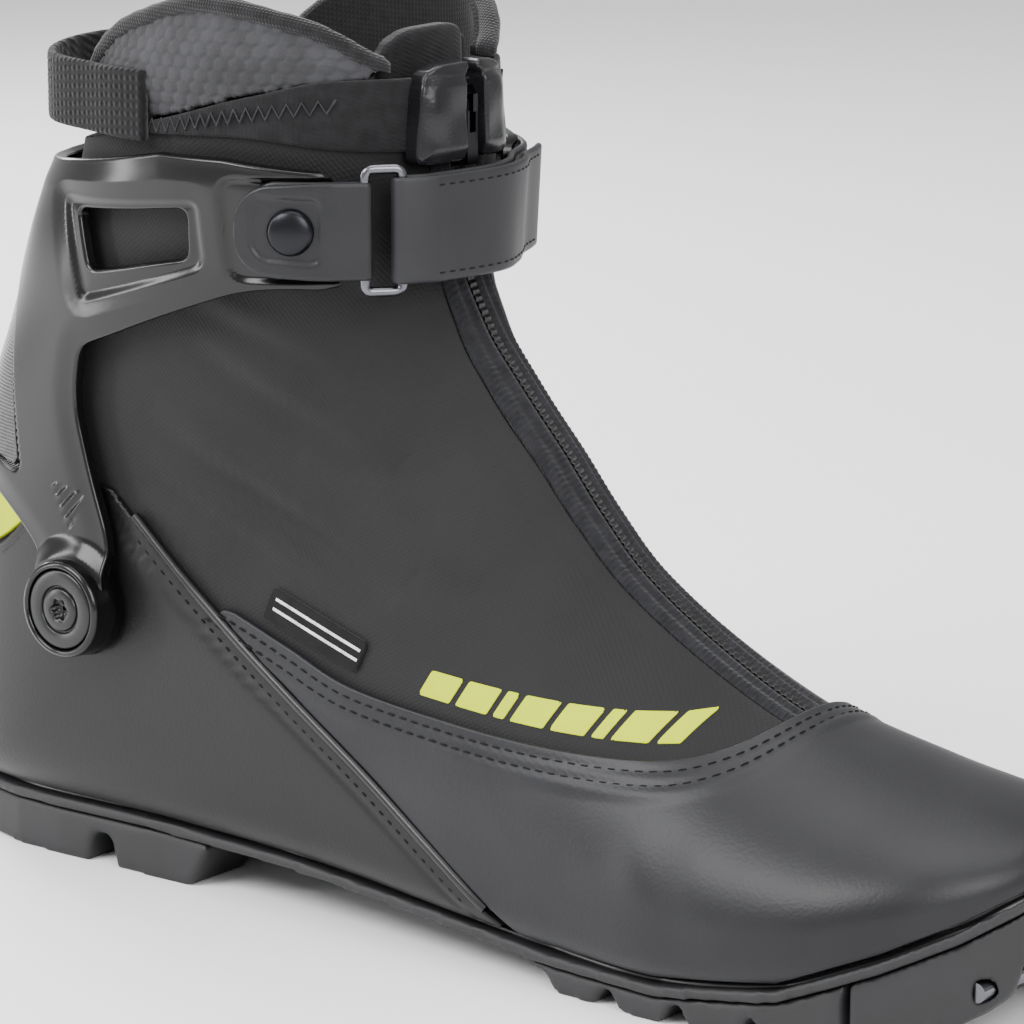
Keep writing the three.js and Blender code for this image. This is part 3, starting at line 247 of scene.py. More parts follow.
# %% Panel maker
def new_object(name, points, faces, normals=None):
    mesh = bpy.data.meshes.new(name)
    place = np.asarray(points, float) * MM + np.array([SHIFT_X, 0, 0])
    mesh.from_pydata(place.tolist(), [], [list(map(int, f)) for f in faces])
    mesh.validate()
    mesh.shade_smooth()
    if normals is not None and len(mesh.vertices) == len(normals):
        mesh.normals_split_custom_set_from_vertices(unit(normals).tolist())
    obj = bpy.data.objects.new(name, mesh)
    bpy.context.scene.collection.objects.link(obj)
    return obj


def cut_grid(params, faces, keep):
    """Keeps the part of the grid where keep is positive, cutting the triangles across its edge."""
    params = [params]
    total = len(params[0])
    flags = keep[faces] > 0
    count = flags.sum(1)
    kept = [faces[count == 3]]

    def crossing(i, j):
        nonlocal total
        low, high = np.minimum(i, j), np.maximum(i, j)
        t = (keep[low] / (keep[low] - keep[high]))[:, None]
        params.append(params[0][low] + t * (params[0][high] - params[0][low]))
        total += len(low)
        return np.arange(total - len(low), total)

    for inner in (1, 2):
        some = faces[count == inner]
        odd = (flags if inner == 1 else ~flags)[count == inner].argmax(1)
        row = np.arange(len(some))
        a, b, c = (some[row, (odd + k) % 3] for k in range(3))
        ab, ac = crossing(a, b), crossing(a, c)
        if inner == 1:
            kept.append(np.stack([a, ab, ac], 1))
        else:
            kept.append(np.stack([ab, b, c], 1))
            kept.append(np.stack([ab, c, ac], 1))
    return np.vstack(params), np.vstack(kept)


def weld(points, faces, *others):
    """Joins points that coincide and drops faces that have shrunk to nothing."""
    _, first, where = np.unique(np.round(points, 3) + 0.0, axis=0, return_index=True, return_inverse=True)
    faces = where.ravel()[faces]
    a, b, c = faces.T
    faces = faces[(a != b) & (b != c) & (c != a)]
    used = np.unique(faces)
    renumber = np.full(len(first), -1)
    renumber[used] = np.arange(len(used))
    pick = first[used]
    return (points[pick], renumber[faces]) + tuple(other[pick] for other in others)


def open_edges(faces):
    edges = np.vstack([faces[:, [0, 1]], faces[:, [1, 2]], faces[:, [2, 0]]])
    key = np.sort(edges, axis=1)
    _, where, count = np.unique(key, axis=0, return_inverse=True, return_counts=True)
    return edges[count[where.ravel()] == 1]


def panel(name, field, height, thick=1.4, roll=0.6, span=(0, LAST), turn=(-math.pi, math.pi), step=1.5,
          backed=False):
    """A panel of the last. field(xz, y) is positive inside it; height(xz, y) is its outer face."""
    rows = int(26 * (span[1] - span[0]) / step)
    cols = int(280 * (turn[1] - turn[0]) / (2 * math.pi) / step)
    s, angle = np.meshgrid(np.linspace(*span, rows + 1), np.linspace(*turn, cols + 1), indexing="ij")
    params = np.stack([s.ravel(), angle.ravel()], 1)
    i = np.arange(rows * (cols + 1)).reshape(rows, cols + 1)[:, :-1].ravel()
    quads = np.stack([i, i + 1, i + cols + 2, i + cols + 1], 1)
    faces = np.vstack([quads[:, [0, 1, 2]], quads[:, [0, 2, 3]]])
    flat = last_point(*params.T)
    keep = field(flat[:, [0, 2]], flat[:, 1]) - roll
    params, faces = cut_grid(params, faces, keep)

    def skin(p):
        base = last_point(*p.T)
        return on_last(*p.T, height(base[:, [0, 2]], base[:, 1]))

    used = np.unique(faces)
    renumber = np.full(len(params), -1)
    renumber[used] = np.arange(len(used))
    params, faces = params[used], renumber[faces]
    points = skin(params)
    d = 0.012
    ds = skin(params + [d, 0]) - skin(np.maximum(params - [d, 0], [0, -9]))
    da = skin(params + [0, d]) - skin(params - [0, d])
    normals = unit(np.cross(da, ds))
    base_normals = last_normal(*params.T)
    normals = np.where((normals * base_normals).sum(1)[:, None] > 0.2, normals, base_normals)
    points, faces, normals, base_normals = weld(points, faces, normals, base_normals)
    a, b, c = (points[faces[:, k]] for k in range(3))
    face_normal = np.cross(b - a, c - a)
    if (face_normal * normals[faces[:, 0]]).sum() < 0:
        faces = faces[:, ::-1]
    return rim(name, points, faces, normals, base_normals, thick, roll, backed)


def rim(name, points, faces, normals, base_normals, thick, roll, backed):
    edges = open_edges(faces)
    count = len(points)
    out = np.zeros_like(points)
    across = unit(np.cross(points[edges[:, 1]] - points[edges[:, 0]], normals[edges].mean(1)))
    np.add.at(out, edges[:, 0], across)
    np.add.at(out, edges[:, 1], across)
    border = np.unique(edges)
    e = unit(out[border])
    n = normals[border]
    rings_p, rings_n = [points], [normals]
    turns = [(math.sin(t), 1 - math.cos(t), math.cos(t), math.sin(t)) for t in (0.6, 1.1, math.pi / 2)]
    for go, drop, up, side in turns:
        rings_p.append(points[border] + roll * (e * go - n * drop))
        rings_n.append(n * up + e * side)
    rings_p.append(points[border] + roll * e - base_normals[border] * thick)
    rings_n.append(e)
    local = np.full(count, -1)
    local[border] = np.arange(len(border))
    levels = [border] + [count + k * len(border) + np.arange(len(border)) for k in range(len(turns) + 1)]
    quads = []
    for upper, lower in zip(levels[:-1], levels[1:]):
        a, b = local[edges[:, 0]], local[edges[:, 1]]
        quads.append(np.stack([upper[a], lower[a], lower[b], upper[b]], 1))
    everything = [list(f) for f in faces] + [list(q) for q in np.vstack(quads)]
    if backed:
        total = sum(len(r) for r in rings_p)
        rings_p.append(points - base_normals * thick)
        rings_n.append(-base_normals)
        everything += [[f[2] + total, f[1] + total, f[0] + total] for f in faces]
        a, b = local[edges[:, 0]], local[edges[:, 1]]
        low = levels[-1]
        back_a, back_b = edges[:, 0] + total, edges[:, 1] + total
        everything += [list(q) for q in np.stack([low[a], back_a, back_b, low[b]], 1)]
    obj = new_object(name, np.vstack(rings_p), everything, np.vstack(rings_n))
    print(f"{name}: {len(obj.data.polygons)} faces")
    return obj

# %% [markdown]
# # Finishes
# Each finish is a small network of nodes. One function adds a node, sets its values and links its inputs, so a
# material reads like a recipe. Colours are written as sRGB hex and turned to the linear values Blender wants.

# %% Node and colour helpers
def linear(hex_colour):
    value = [int(hex_colour[k:k + 2], 16) / 255 for k in (1, 3, 5)]
    return tuple(v / 12.92 if v <= 0.04045 else ((v + 0.055) / 1.055)**2.4 for v in value) + (1.0,)


def new_material(name):
    material = bpy.data.materials.new(name)
    material.use_nodes = True
    tree = material.node_tree
    return material, tree, tree.nodes["Principled BSDF"]


def add(tree, kind, settings=None, **inputs):
    """Adds a node. settings are its properties; inputs are values, or sockets to link from."""
    made = tree.nodes.new(kind)
    for key, value in (settings or {}).items():
        setattr(made, key, value)
    for key, value in inputs.items():
        socket = made.inputs[int(key[1:])] if key[0] == "i" and key[1:].isdigit() else made.inputs[
            key.replace("_", " ")]
        if isinstance(value, bpy.types.NodeSocket):
            tree.links.new(value, socket)
        else:
            socket.default_value = value
    return made


def math_node(tree, operation, a, b=0.0):
    return add(tree, "ShaderNodeMath", {"operation": operation}, i0=a, i1=b).outputs[0]


def place(tree):
    return add(tree, "ShaderNodeTexCoord").outputs["Object"]


def finish(tree, shader, colour, roughness, height=None, depth_mm=0.1, **values):
    """Wires colour, roughness and a relief of the given depth into the shader."""
    for socket, value in (("Base Color", colour), ("Roughness", roughness)):
        if isinstance(value, bpy.types.NodeSocket):
            tree.links.new(value, shader.inputs[socket])
        else:
            shader.inputs[socket].default_value = value
    for key, value in values.items():
        shader.inputs[key.replace("_", " ")].default_value = value
    if height is not None:
        bump = add(tree, "ShaderNodeBump", Strength=1.0, Distance=depth_mm * MM, Height=height)
        tree.links.new(bump.outputs[0], shader.inputs["Normal"])


def mottle(tree, vector, size_mm, dark, light, detail=3.0):
    """Colour that drifts between two shades over patches of the given size."""
    noise = add(tree, "ShaderNodeTexNoise", Vector=vector, Scale=1 / (size_mm * MM), Detail=detail)
    blend = add(tree, "ShaderNodeMapRange", Value=noise.outputs["Fac"])
    blend.inputs["From Min"].default_value = 0.35
    blend.inputs["From Max"].default_value = 0.65
    mix = add(tree, "ShaderNodeMix", {"data_type": "RGBA"}, Factor=blend.outputs[0])
    mix.inputs["A"].default_value = linear(dark)
    mix.inputs["B"].default_value = linear(light)
    return mix.outputs["Result"], noise.outputs["Fac"]


def stripes(tree, vector, pitch_mm, direction=(1, 0, 0)):
    """A soft 0-1 wave across the direction, one wave for each pitch."""
    dot = add(tree, "ShaderNodeVectorMath", {"operation": "DOT_PRODUCT"}, i0=vector)
    dot.inputs[1].default_value = unit(np.array(direction, float)).tolist()
    turn = math_node(tree, "MULTIPLY", dot.outputs["Value"], 2 * math.pi / (pitch_mm * MM))
    wave = math_node(tree, "SINE", turn)
    return math_node(tree, "MULTIPLY_ADD", wave, 0.5)


# %% [markdown]
# ## Softshell
# The cover is a stretch softshell: polyester woven as a fine twill and brushed. It is almost black, drinks the
# light and shows only a faint sheen at grazing angles. Its twill lines are about 0.5 mm apart; they are drawn at
# 0.9 mm so that they still show.

# %% Softshell twill
def softshell_twill():
    material, tree, shader = new_material("softshell_twill")
    vector = place(tree)
    colour, cloud = mottle(tree, vector, 14, "#0b0b0c", "#0e0e10", 1.0)
    warp = stripes(tree, vector, 0.9, (1, 0.3, 0.8))
    weft = stripes(tree, vector, 0.9, (0.7, -0.3, -1))
    weave = math_node(tree, "ADD", warp, math_node(tree, "MULTIPLY", weft, 0.6))
    fuzz = add(tree, "ShaderNodeTexNoise", Vector=vector, Scale=1400.0, Detail=2.0).outputs["Fac"]
    finish(tree, shader, colour, 0.74, math_node(tree, "ADD", weave, fuzz), 0.045,
           Specular_IOR_Level=0.32, Sheen_Weight=0.06, Sheen_Roughness=0.5)
    return material


# %% [markdown]
# ## Synthetic leather
# Vamp and heel are polyurethane-coated synthetic leather. The coat is rolled with a very fine grain, so the eye
# sees broad satin highlights that break up slightly, not a mirror. Polyurethane has an IOR near 1.5.

# %% Polyurethane synthetic leather
def polyurethane_leather(name, dark, light, roughness):
    material, tree, shader = new_material(name)
    vector = place(tree)
    colour, cloud = mottle(tree, vector, 22, dark, light)
    grain = add(tree, "ShaderNodeTexVoronoi", {"feature": "SMOOTH_F1"}, Vector=vector, Scale=1 / (0.8 * MM))
    pores = add(tree, "ShaderNodeTexNoise", Vector=vector, Scale=1 / (0.35 * MM), Detail=2.0)
    fine = math_node(tree, "MULTIPLY", pores.outputs["Fac"], 0.5)
    height = math_node(tree, "ADD", grain.outputs["Distance"], fine)
    gloss = add(tree, "ShaderNodeMapRange", Value=cloud)
    gloss.inputs["To Min"].default_value = roughness - 0.05
    gloss.inputs["To Max"].default_value = roughness + 0.07
    finish(tree, shader, colour, gloss.outputs[0], height, 0.035, IOR=1.5, Specular_IOR_Level=0.32)
    return material


# %% [markdown]
# ## Moulded parts
# The cuff is injection-moulded nylon from a polished mould: dark, glossy, with faint flow streaks. The sole is
# moulded rubber, matte with a fine spark-eroded texture. Bolts, piping and trim are satin nylon.

# %% Nylon and rubber
def moulded(name, dark, light, roughness, texture_mm, depth_mm, patch_mm=30, **values):
    material, tree, shader = new_material(name)
    vector = place(tree)
    colour, cloud = mottle(tree, vector, patch_mm, dark, light)
    noise = add(tree, "ShaderNodeTexNoise", Vector=vector, Scale=1 / (texture_mm * MM), Detail=3.0)
    grit = noise.outputs["Fac"]
    gloss = add(tree, "ShaderNodeMapRange", Value=cloud)
    gloss.inputs["To Min"].default_value = max(roughness - 0.04, 0.05)
    gloss.inputs["To Max"].default_value = roughness + 0.05
    finish(tree, shader, colour, gloss.outputs[0], grit, depth_mm, **values)
    return material


# %% [markdown]
# ## Cloth, webbing and hook-and-loop
# Lining, knit and heel cloth are small loops or crossed threads. Two crossed waves give a plain weave at the
# thread spacing, and noise breaks its regularity as real yarn does. Sheen lifts the edge of fuzzy cloth.

# %% Woven and knitted cloth
def woven(name, dark, light, pitch_mm, depth_mm, roughness=0.9, patch_mm=3.0, sheen=0.3,
          directions=((1, 0, 0), (0, 0.4, 1))):
    material, tree, shader = new_material(name)
    vector = place(tree)
    colour, cloud = mottle(tree, vector, patch_mm, dark, light)
    weave = math_node(tree, "MULTIPLY", stripes(tree, vector, pitch_mm, directions[0]),
                      stripes(tree, vector, pitch_mm, directions[1]))
    yarn = add(tree, "ShaderNodeTexNoise", Vector=vector, Scale=1 / (0.5 * pitch_mm * MM), Detail=2.0)
    height = math_node(tree, "ADD", weave, math_node(tree, "MULTIPLY", yarn.outputs["Fac"], 0.4))
    finish(tree, shader, colour, roughness, height, depth_mm, Specular_IOR_Level=0.2,
           Sheen_Weight=0.3 * sheen)
    return material


# %% [markdown]
# ## Carbon-look sheet
# The strip at the back of the cuff has a printed check like carbon cloth: small squares in two shades of black,
# crossed by fine threads, under a thin clear coat.

# %% Carbon check
def carbon_check():
    material, tree, shader = new_material("carbon_check")
    vector = place(tree)
    checker = add(tree, "ShaderNodeTexChecker", Vector=vector, Scale=1 / (3.2 * MM))
    checker.inputs["Color1"].default_value = linear("#0b0b0c")
    checker.inputs["Color2"].default_value = linear("#1d1d20")
    threads = math_node(tree, "ADD", stripes(tree, vector, 0.8, (0, 0, 1)),
                        math_node(tree, "MULTIPLY", checker.outputs["Fac"], 0.6))
    finish(tree, shader, checker.outputs["Color"], 0.34, threads, 0.06, Coat_Weight=0.4, Coat_Roughness=0.15)
    return material


# %% Metals
def wrought(name, colour, roughness):
    """Steel: a metal shows its colour only in its reflections; drawing lines run along the wire."""
    material, tree, shader = new_material(name)
    vector = place(tree)
    lines = add(tree, "ShaderNodeTexNoise", Vector=vector, Scale=2200.0, Detail=2.0).outputs["Fac"]
    finish(tree, shader, linear(colour), roughness, lines, 0.01, Metallic=1.0)
    return material


SOFTSHELL = softshell_twill()
VAMP_LEATHER = polyurethane_leather("vamp_synthetic_leather", "#131316", "#19191d", 0.42)
HEEL_LEATHER = polyurethane_leather("heel_synthetic_leather", "#070709", "#0b0b0d", 0.42)
STRAP_COAT = polyurethane_leather("strap_coated_microfibre", "#1c1c1f", "#232326", 0.5)
TAB_COAT = polyurethane_leather("tab_moulded_polyurethane", "#151518", "#1c1c1f", 0.38)
GARAGE_COAT = polyurethane_leather("zip_garage_film", "#141416", "#1c1c1f", 0.24)
CUFF_NYLON = moulded("cuff_gloss_nylon", "#060607", "#0a0a0b", 0.22, 1.1, 0.012, IOR=1.53,
                     Specular_IOR_Level=0.36)
TRIM_NYLON = moulded("trim_satin_nylon", "#0b0b0c", "#101011", 0.32, 0.6, 0.02, IOR=1.53,
                     Specular_IOR_Level=0.4)
SOLE_RUBBER = moulded("sole_rubber", "#111113", "#17171a", 0.60, 0.45, 0.05, 12, IOR=1.52)
STIFF_SHEET = moulded("stiffener_sheet", "#6d6d70", "#808083", 0.6, 0.6, 0.05)
LINING = woven("brushed_lining", "#0f0e0f", "#161517", 1.1, 0.12)
HEEL_CLOTH = woven("melange_heel_cloth", "#1a1a1c", "#343438", 1.2, 0.10, patch_mm=0.9)
COLLAR_KNIT = woven("collar_knit", "#121213", "#1a1a1c", 1.0, 0.08)
LOBE_CLOTH = woven("quilted_collar_cloth", "#333335", "#3c3c3f", 0.9, 0.05, patch_mm=9.0)
BINDING = woven("plush_binding", "#121213", "#1e1e20", 0.7, 0.20, sheen=0.6)
WEBBING = woven("polyester_webbing", "#0a0a0b", "#141416", 1.9, 0.35, patch_mm=1.2)
ZIP_CLOTH = woven("zip_tape_twill", "#17171a", "#202023", 1.3, 0.18, directions=((1, 0, -0.6), (1, 0, 0.6)))
LACE_CORD = woven("lace_cord", "#151517", "#1f1f21", 1.4, 0.2)
LABEL_CLOTH = woven("label_satin", "#0a0a0b", "#101011", 0.6, 0.03)
WHITE_THREAD = woven("white_thread", "#b9b9bb", "#e6e6e8", 0.5, 0.05)
GREY_THREAD = woven("grey_thread", "#29292b", "#353538", 0.35, 0.05, sheen=0.1)
BLACK_THREAD = woven("black_thread", "#0a0a0b", "#121214", 0.35, 0.05, sheen=0.1)
HOOK_CLOTH = woven("hook_and_loop", "#0c0c0d", "#18181a", 0.8, 0.35, patch_mm=0.7, sheen=0.5)
YELLOW_PRINT = moulded("yellow_print", "#b6c400", "#bccb00", 0.6, 0.5, 0.02, 8, Specular_IOR_Level=0.1)
INSOLE_FOAM = moulded("insole_foam", "#4c4c51", "#5e5e64", 0.9, 0.9, 0.1)
STEEL = wrought("polished_steel", "#66666b", 0.26)
DARK_STEEL = wrought("blackened_steel", "#2b2b2e", 0.32)
print(len(bpy.data.materials), "materials")


def dress(obj, body, material, *replaced, slot=None):
    """Gives a piece its finish, the body it rides on and the CAD nodes it stands for."""
    obj.data.materials.clear()
    obj.data.materials.append(material)
    if body:
        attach(obj, body)
    if replaced:
        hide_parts(*replaced)
    return obj


# %% [markdown]
# ## Camera, light and floor
# The camera looks from the toe's outer side, a little from above. Four big soft lights from the front, the toe,
# the back and the top draw broad highlights on the leather. A narrow one on the left draws the long thin ones on
# the glossy cuff. A pale floor and world fill the shadows.

# %% Camera
AZIMUTH, ELEVATION = math.radians(37.5), math.radians(13)
DISTANCE = 1.15
right = Vector((math.cos(AZIMUTH), math.sin(AZIMUTH), 0))
back = Vector((math.sin(AZIMUTH) * math.cos(ELEVATION), -math.cos(AZIMUTH) * math.cos(ELEVATION),
               math.sin(ELEVATION)))
up = back.cross(right)
AIM = Vector((SHIFT_X, 0, 0.097)) + (right - up) * 12 * MM / 4.4
camera = bpy.data.objects.new("camera", bpy.data.cameras.new("camera"))
camera.data.lens = 177.9
camera.data.clip_end = 20
camera.location = AIM + back * DISTANCE
camera.rotation_euler = back.to_track_quat("Z", "Y").to_euler()
bpy.context.scene.collection.objects.link(camera)
bpy.context.scene.camera = camera
print("camera", [round(v, 3) for v in camera.location])


# %% Light and floor
def soft_light(name, location, size, watts, target=(0, 0, 0.1)):
    lamp = bpy.data.lights.new(name, "AREA")
    lamp.shape = "RECTANGLE"
    lamp.size, lamp.size_y = size
    lamp.energy = watts
    obj = bpy.data.objects.new(name, lamp)
    obj.location = location
    obj.rotation_euler = (Vector(location) - Vector(target)).to_track_quat("Z", "Y").to_euler()
    bpy.context.scene.collection.objects.link(obj)


soft_light("key_light", (-0.35, -1.1, 1.1), (0.9, 0.7), 26)
soft_light("toe_light", (1.1, -0.5, 0.8), (0.8, 0.8), 17)
soft_light("rim_light", (-1.0, 0.5, 0.8), (0.5, 0.9), 16)
soft_light("top_light", (0.1, 0.1, 1.4), (1.0, 1.0), 12)
soft_light("strip_light", (-1.0, -0.75, 0.35), (0.14, 1.1), 9)
world = bpy.data.worlds.new("studio")
world.use_nodes = True
world.node_tree.nodes["Background"].inputs["Color"].default_value = (1, 1, 1, 1)
world.node_tree.nodes["Background"].inputs["Strength"].default_value = 0.75
bpy.context.scene.world = world

floor_mesh = bpy.data.meshes.new("floor")
floor_mesh.from_pydata([(-4, -4, 0), (4, -4, 0), (4, 4, 0), (-4, 4, 0)], [], [(0, 1, 2, 3)])
floor = bpy.data.objects.new("floor", floor_mesh)
bpy.context.scene.collection.objects.link(floor)
paper, paper_tree, paper_shader = new_material("floor_paper")
finish(paper_tree, paper_shader, linear("#f4f4f4"), 0.9)
floor_mesh.materials.append(paper)

# %% [markdown]
# # The upper
# The seams below are drawn once, as side-view lines in millimetres. The vamp, the heel panel and the softshell
# between them are cut from the same lines, so they always meet.

# %% Seam lines
VAMP_EDGE = smooth_line([[-60, 75], [-44, 69.5], [-30.4, 64.9], [-12.6, 58.9], [16, 55.3], [43, 53.4],
                         [66, 53.4], [78, 55.5], [86, 60.5], [91, 72]], 60)
DIAGONAL = smooth_line([[-83, 94.5], [-57.4, 72.4], [-29.6, 53.6], [-2.1, 36.5], [24.7, 19.3], [42, 8]], 40)
HEEL_TOP = smooth_line([[-83, 94.5], [-95, 95.5], [-108, 88.5], [-121, 77], [-140, 67], [-165, 62]], 30)
COLLAR_LINE = smooth_line([[-140, 170], [-100, 174], [-66, 182], [-40, 189.5], [-22, 193], [20, 188],
                           [200, 188]], 40)
WELT_RISE = 2.0
WELT = np.array([[-170, 14], *[row[2:4] for row in SLICES[10:0:-1]], [154, 38.5], [170, 38.5]])
WELT = WELT + [0, WELT_RISE]


def above(points, line):
    """Height above a line that runs along x, or distance from it where the line is steep."""
    order = np.argsort(line[:, 0])
    over = points[:, 1] - np.interp(points[:, 0], line[order, 0], line[order, 1])
    return np.sign(over) * line_distance(points, line)


def welt_rise(points):
    return points[:, 1] - np.interp(points[:, 0], WELT[:, 0], WELT[:, 1])


VAMP_SHAPE = np.vstack([VAMP_EDGE, [[200, 72], [200, -30], [60, -30]], DIAGONAL[8:][::-1]])
HEEL_SHAPE = np.vstack([DIAGONAL, [[42, -60], [-300, -60], [-300, 62]], HEEL_TOP[::-1]])


# %% [markdown]
# ## Stitches
# A seam is a row of separate stitches, each a little sausage of thread that dives into the sheet at both ends.
# Modelled one by one they catch the light as thread does; a line in a texture would not.

# %% Stitch maker
# place along the stitch, share of the full thickness, depth below the sheet in thread radii
STITCH = ((0, 0.15, 0.6), (0.15, 0.9, 0.1), (0.5, 1, 0), (0.85, 0.9, 0.1), (1, 0.15, 0.6))
STITCH_SIDES = 6


def stitch_row(name, lines, body, length=2.2, gap=1.1, radius=0.22, material=None, slot="webbing"):
    """lines is a list of (points, normals) in millimetres, one for each row of stitches."""
    points, faces = [], []
    around = np.linspace(0, 2 * math.pi, STITCH_SIDES + 1)[:-1]
    for line, normals in lines:
        far = np.r_[0, np.cumsum(np.linalg.norm(np.diff(line, axis=0), axis=1))]
        for start in np.arange(0.5, far[-1] - length, length + gap):
            base = len(points)
            for t, size, sink in STITCH:
                at = start + t * length
                centre = np.array([np.interp(at, far, line[:, k]) for k in range(3)])
                n = unit(np.array([np.interp(at, far, normals[:, k]) for k in range(3)]))
                ahead = np.array([np.interp(at + 0.1, far, line[:, k]) for k in range(3)])
                side = unit(np.cross(n, ahead - centre + 1e-6))
                centre = centre - n * sink * radius
                for a in around:
                    points.append(centre + radius * size * (math.cos(a) * side + math.sin(a) * n))
            for ring in range(len(STITCH) - 1):
                for k in range(STITCH_SIDES):
                    low = base + STITCH_SIDES * ring
                    high = low + STITCH_SIDES
                    after = (k + 1) % STITCH_SIDES
                    faces.append([low + k, low + after, high + after, high + k])
    obj = new_object(name, points, faces)
    dress(obj, body, material or BLACK_THREAD, slot=slot)
    print(f"{name}: {len(points) // (len(STITCH) * STITCH_SIDES)} stitches")
    return obj


def seam_rows(line, sides, height, count=160):
    rows = []
    for side in sides:
        rows.append(side_point(smooth_line(line, count), side, height))
    return rows


def moved(line, distance):
    """The line shifted sideways in the side view, positive to its left."""
    run = unit(np.gradient(line, axis=0))
    return line + np.stack([-run[:, 1], run[:, 0]], 1) * distance


# %% [markdown]
# ## Vamp
# The vamp is one sheet of synthetic leather drawn over the toe. Its top edge is a slightly raised band held by two
# rows of stitches, and where the toes bend it has soft creases. All of this is relief in the panel's height.

# %% Vamp
BEAD = 1.35           # the panels end this far above the welt line
OVER = 1.9            # outer face of the leather, above the last
PIPING_SEAT = 1.0     # half the groove left for the diagonal piping
EDGE_BAND = 0.45      # rise of the vamp's edge band
EDGE_ROWS = (2.4, 5.0)  # the two rows of stitches, below the edge


def vamp_field(xz, y):
    return np.minimum.reduce([inside(xz, VAMP_SHAPE), welt_rise(xz) - BEAD,
                              line_distance(xz, DIAGONAL) - PIPING_SEAT])


def vamp_height(xz, y):
    x, z = xz.T
    edge = line_distance(xz, VAMP_EDGE)
    band = EDGE_BAND * (1 - ease(edge, 6.2, 9.0))
    groove = sum(-0.2 * np.exp(-((edge - row) / 0.8)**2) for row in EDGE_ROWS)
    bend = np.exp(-((x - 62 - 0.25 * np.abs(y)) / 16)**2) * ease(z, 20, 46)
    crease = 0.3 * bend * np.sin((x + 0.35 * z + 0.2 * np.abs(y)) * 0.36) * ease(edge, 9, 22)
    soft = 0.25 * np.sin(x * 0.055 + 1.2) * np.sin(z * 0.11)
    return OVER + band + groove + crease + soft


dress(panel("vamp_leather", vamp_field, vamp_height, roll=0.7, span=(0, 12.5), step=0.85),
      "root", VAMP_LEATHER, "vamp", slot="vamp_leather")
vamp_seams = []
for row in EDGE_ROWS:
    vamp_seams += seam_rows(moved(VAMP_EDGE[2:-3], -row), (-1, 1), OVER + EDGE_BAND - 0.03)
stitch_row("vamp_edge_stitches", vamp_seams, "root")


# %% [markdown]
# ## Heel panel, heel cloth and heel patch
# Behind the diagonal seam a stiffer panel wraps the heel. Above it grey cloth fills the space under the cuff, and
# a bright yellow patch marks the back.

# %% Heel
def rear_rise(xz, degrees):
    """Distance above a bend line that climbs backwards from the pivot."""
    turn = math.radians(degrees)
    return (xz - PIVOT) @ np.array([math.sin(turn), -math.cos(turn)])


def front_rise(xz, degrees):
    """Distance above a bend line that climbs forwards from the pivot."""
    turn = math.radians(degrees)
    return (xz - PIVOT) @ np.array([-math.sin(turn), math.cos(turn)])


def heel_field(xz, y):
    return np.minimum.reduce([inside(xz, HEEL_SHAPE), welt_rise(xz) - BEAD,
                              line_distance(xz, DIAGONAL) - PIPING_SEAT])


def heel_height(xz, y):
    x, z = xz.T
    groove = -0.3 * np.exp(-((line_distance(xz, DIAGONAL) - 5.2) / 0.8)**2)
    puff = 0.4 * ease(line_distance(xz, DIAGONAL), 0, 9)
    top = -0.25 * np.exp(-((line_distance(xz, HEEL_TOP) - 2.0) / 0.5)**2)
    return OVER - 0.2 + groove + puff + top + 0.15 * np.sin(x * 0.07) * np.sin(z * 0.09)


dress(panel("heel_leather", heel_field, heel_height, roll=0.7, span=(4.5, 15), step=1.0),
      "root", HEEL_LEATHER, "heel_panel", slot="heel_leather")
PATCH = rounded([[-114.5, 90], [-111.5, 84.5], [-121, 78.3], [-140, 68.3], [-165, 63.3], [-165, 80],
                 [-146, 83], [-130, 87]])
dress(panel("heel_patch_print", lambda xz, y: inside(xz, PATCH), lambda xz, y: np.full(len(xz), 1.7),
            thick=1.2, roll=0.4, span=(8, 17)), "root", YELLOW_PRINT, "heel_patch", slot="yellow_print")


def heel_cloth_field(xz, y):
    x, z = xz.T
    return np.minimum.reduce([z - 52, -87 - x, -rear_rise(xz, 139)])


dress(panel("heel_cloth", heel_cloth_field, lambda xz, y: np.full(len(xz), -0.05), thick=1.2, roll=0.4,
            span=(7, 17)), "root", HEEL_CLOTH, "heel_fabric", slot="heel_fabric")

# %% [markdown]
# ## Diagonal piping and featherline
# A glossy cord covers the joint of vamp and heel panel, and a thin bead runs all round where the upper meets the
# sole. Both are swept tubes with round section.


# %% Swept cords
def swept(name, points, normals, radius, closed=False, sides=10, flat=1.0, wobble=0.0):
    count = len(points)
    turn = np.roll(points, -1, 0) - np.roll(points, 1, 0) if closed else np.gradient(points, axis=0)
    t = unit(turn)
    n = unit(normals - (normals * t).sum(1)[:, None] * t)
    b = np.cross(t, n)
    angles = np.linspace(0, 2 * math.pi, sides + 1)[:-1]
    size = radius * (1 + wobble * np.sin(np.arange(count) * 0.9))[:, None]
    rings = [points + size * (n * math.cos(a) * flat + b * math.sin(a)) for a in angles]
    shade = [n * math.cos(a) + b * math.sin(a) * flat for a in angles]
    vertices = np.stack(rings, 1).reshape(-1, 3)
    faces = []
    for i in range(count if closed else count - 1):
        low, high = i * sides, ((i + 1) % count) * sides
        for k in range(sides):
            faces.append([low + k, low + (k + 1) % sides, high + (k + 1) % sides, high + k])
    if not closed:
        faces.append(list(range(sides))[::-1])
        faces.append([(count - 1) * sides + k for k in range(sides)])
    return new_object(name, vertices, faces, np.stack(shade, 1).reshape(-1, 3))


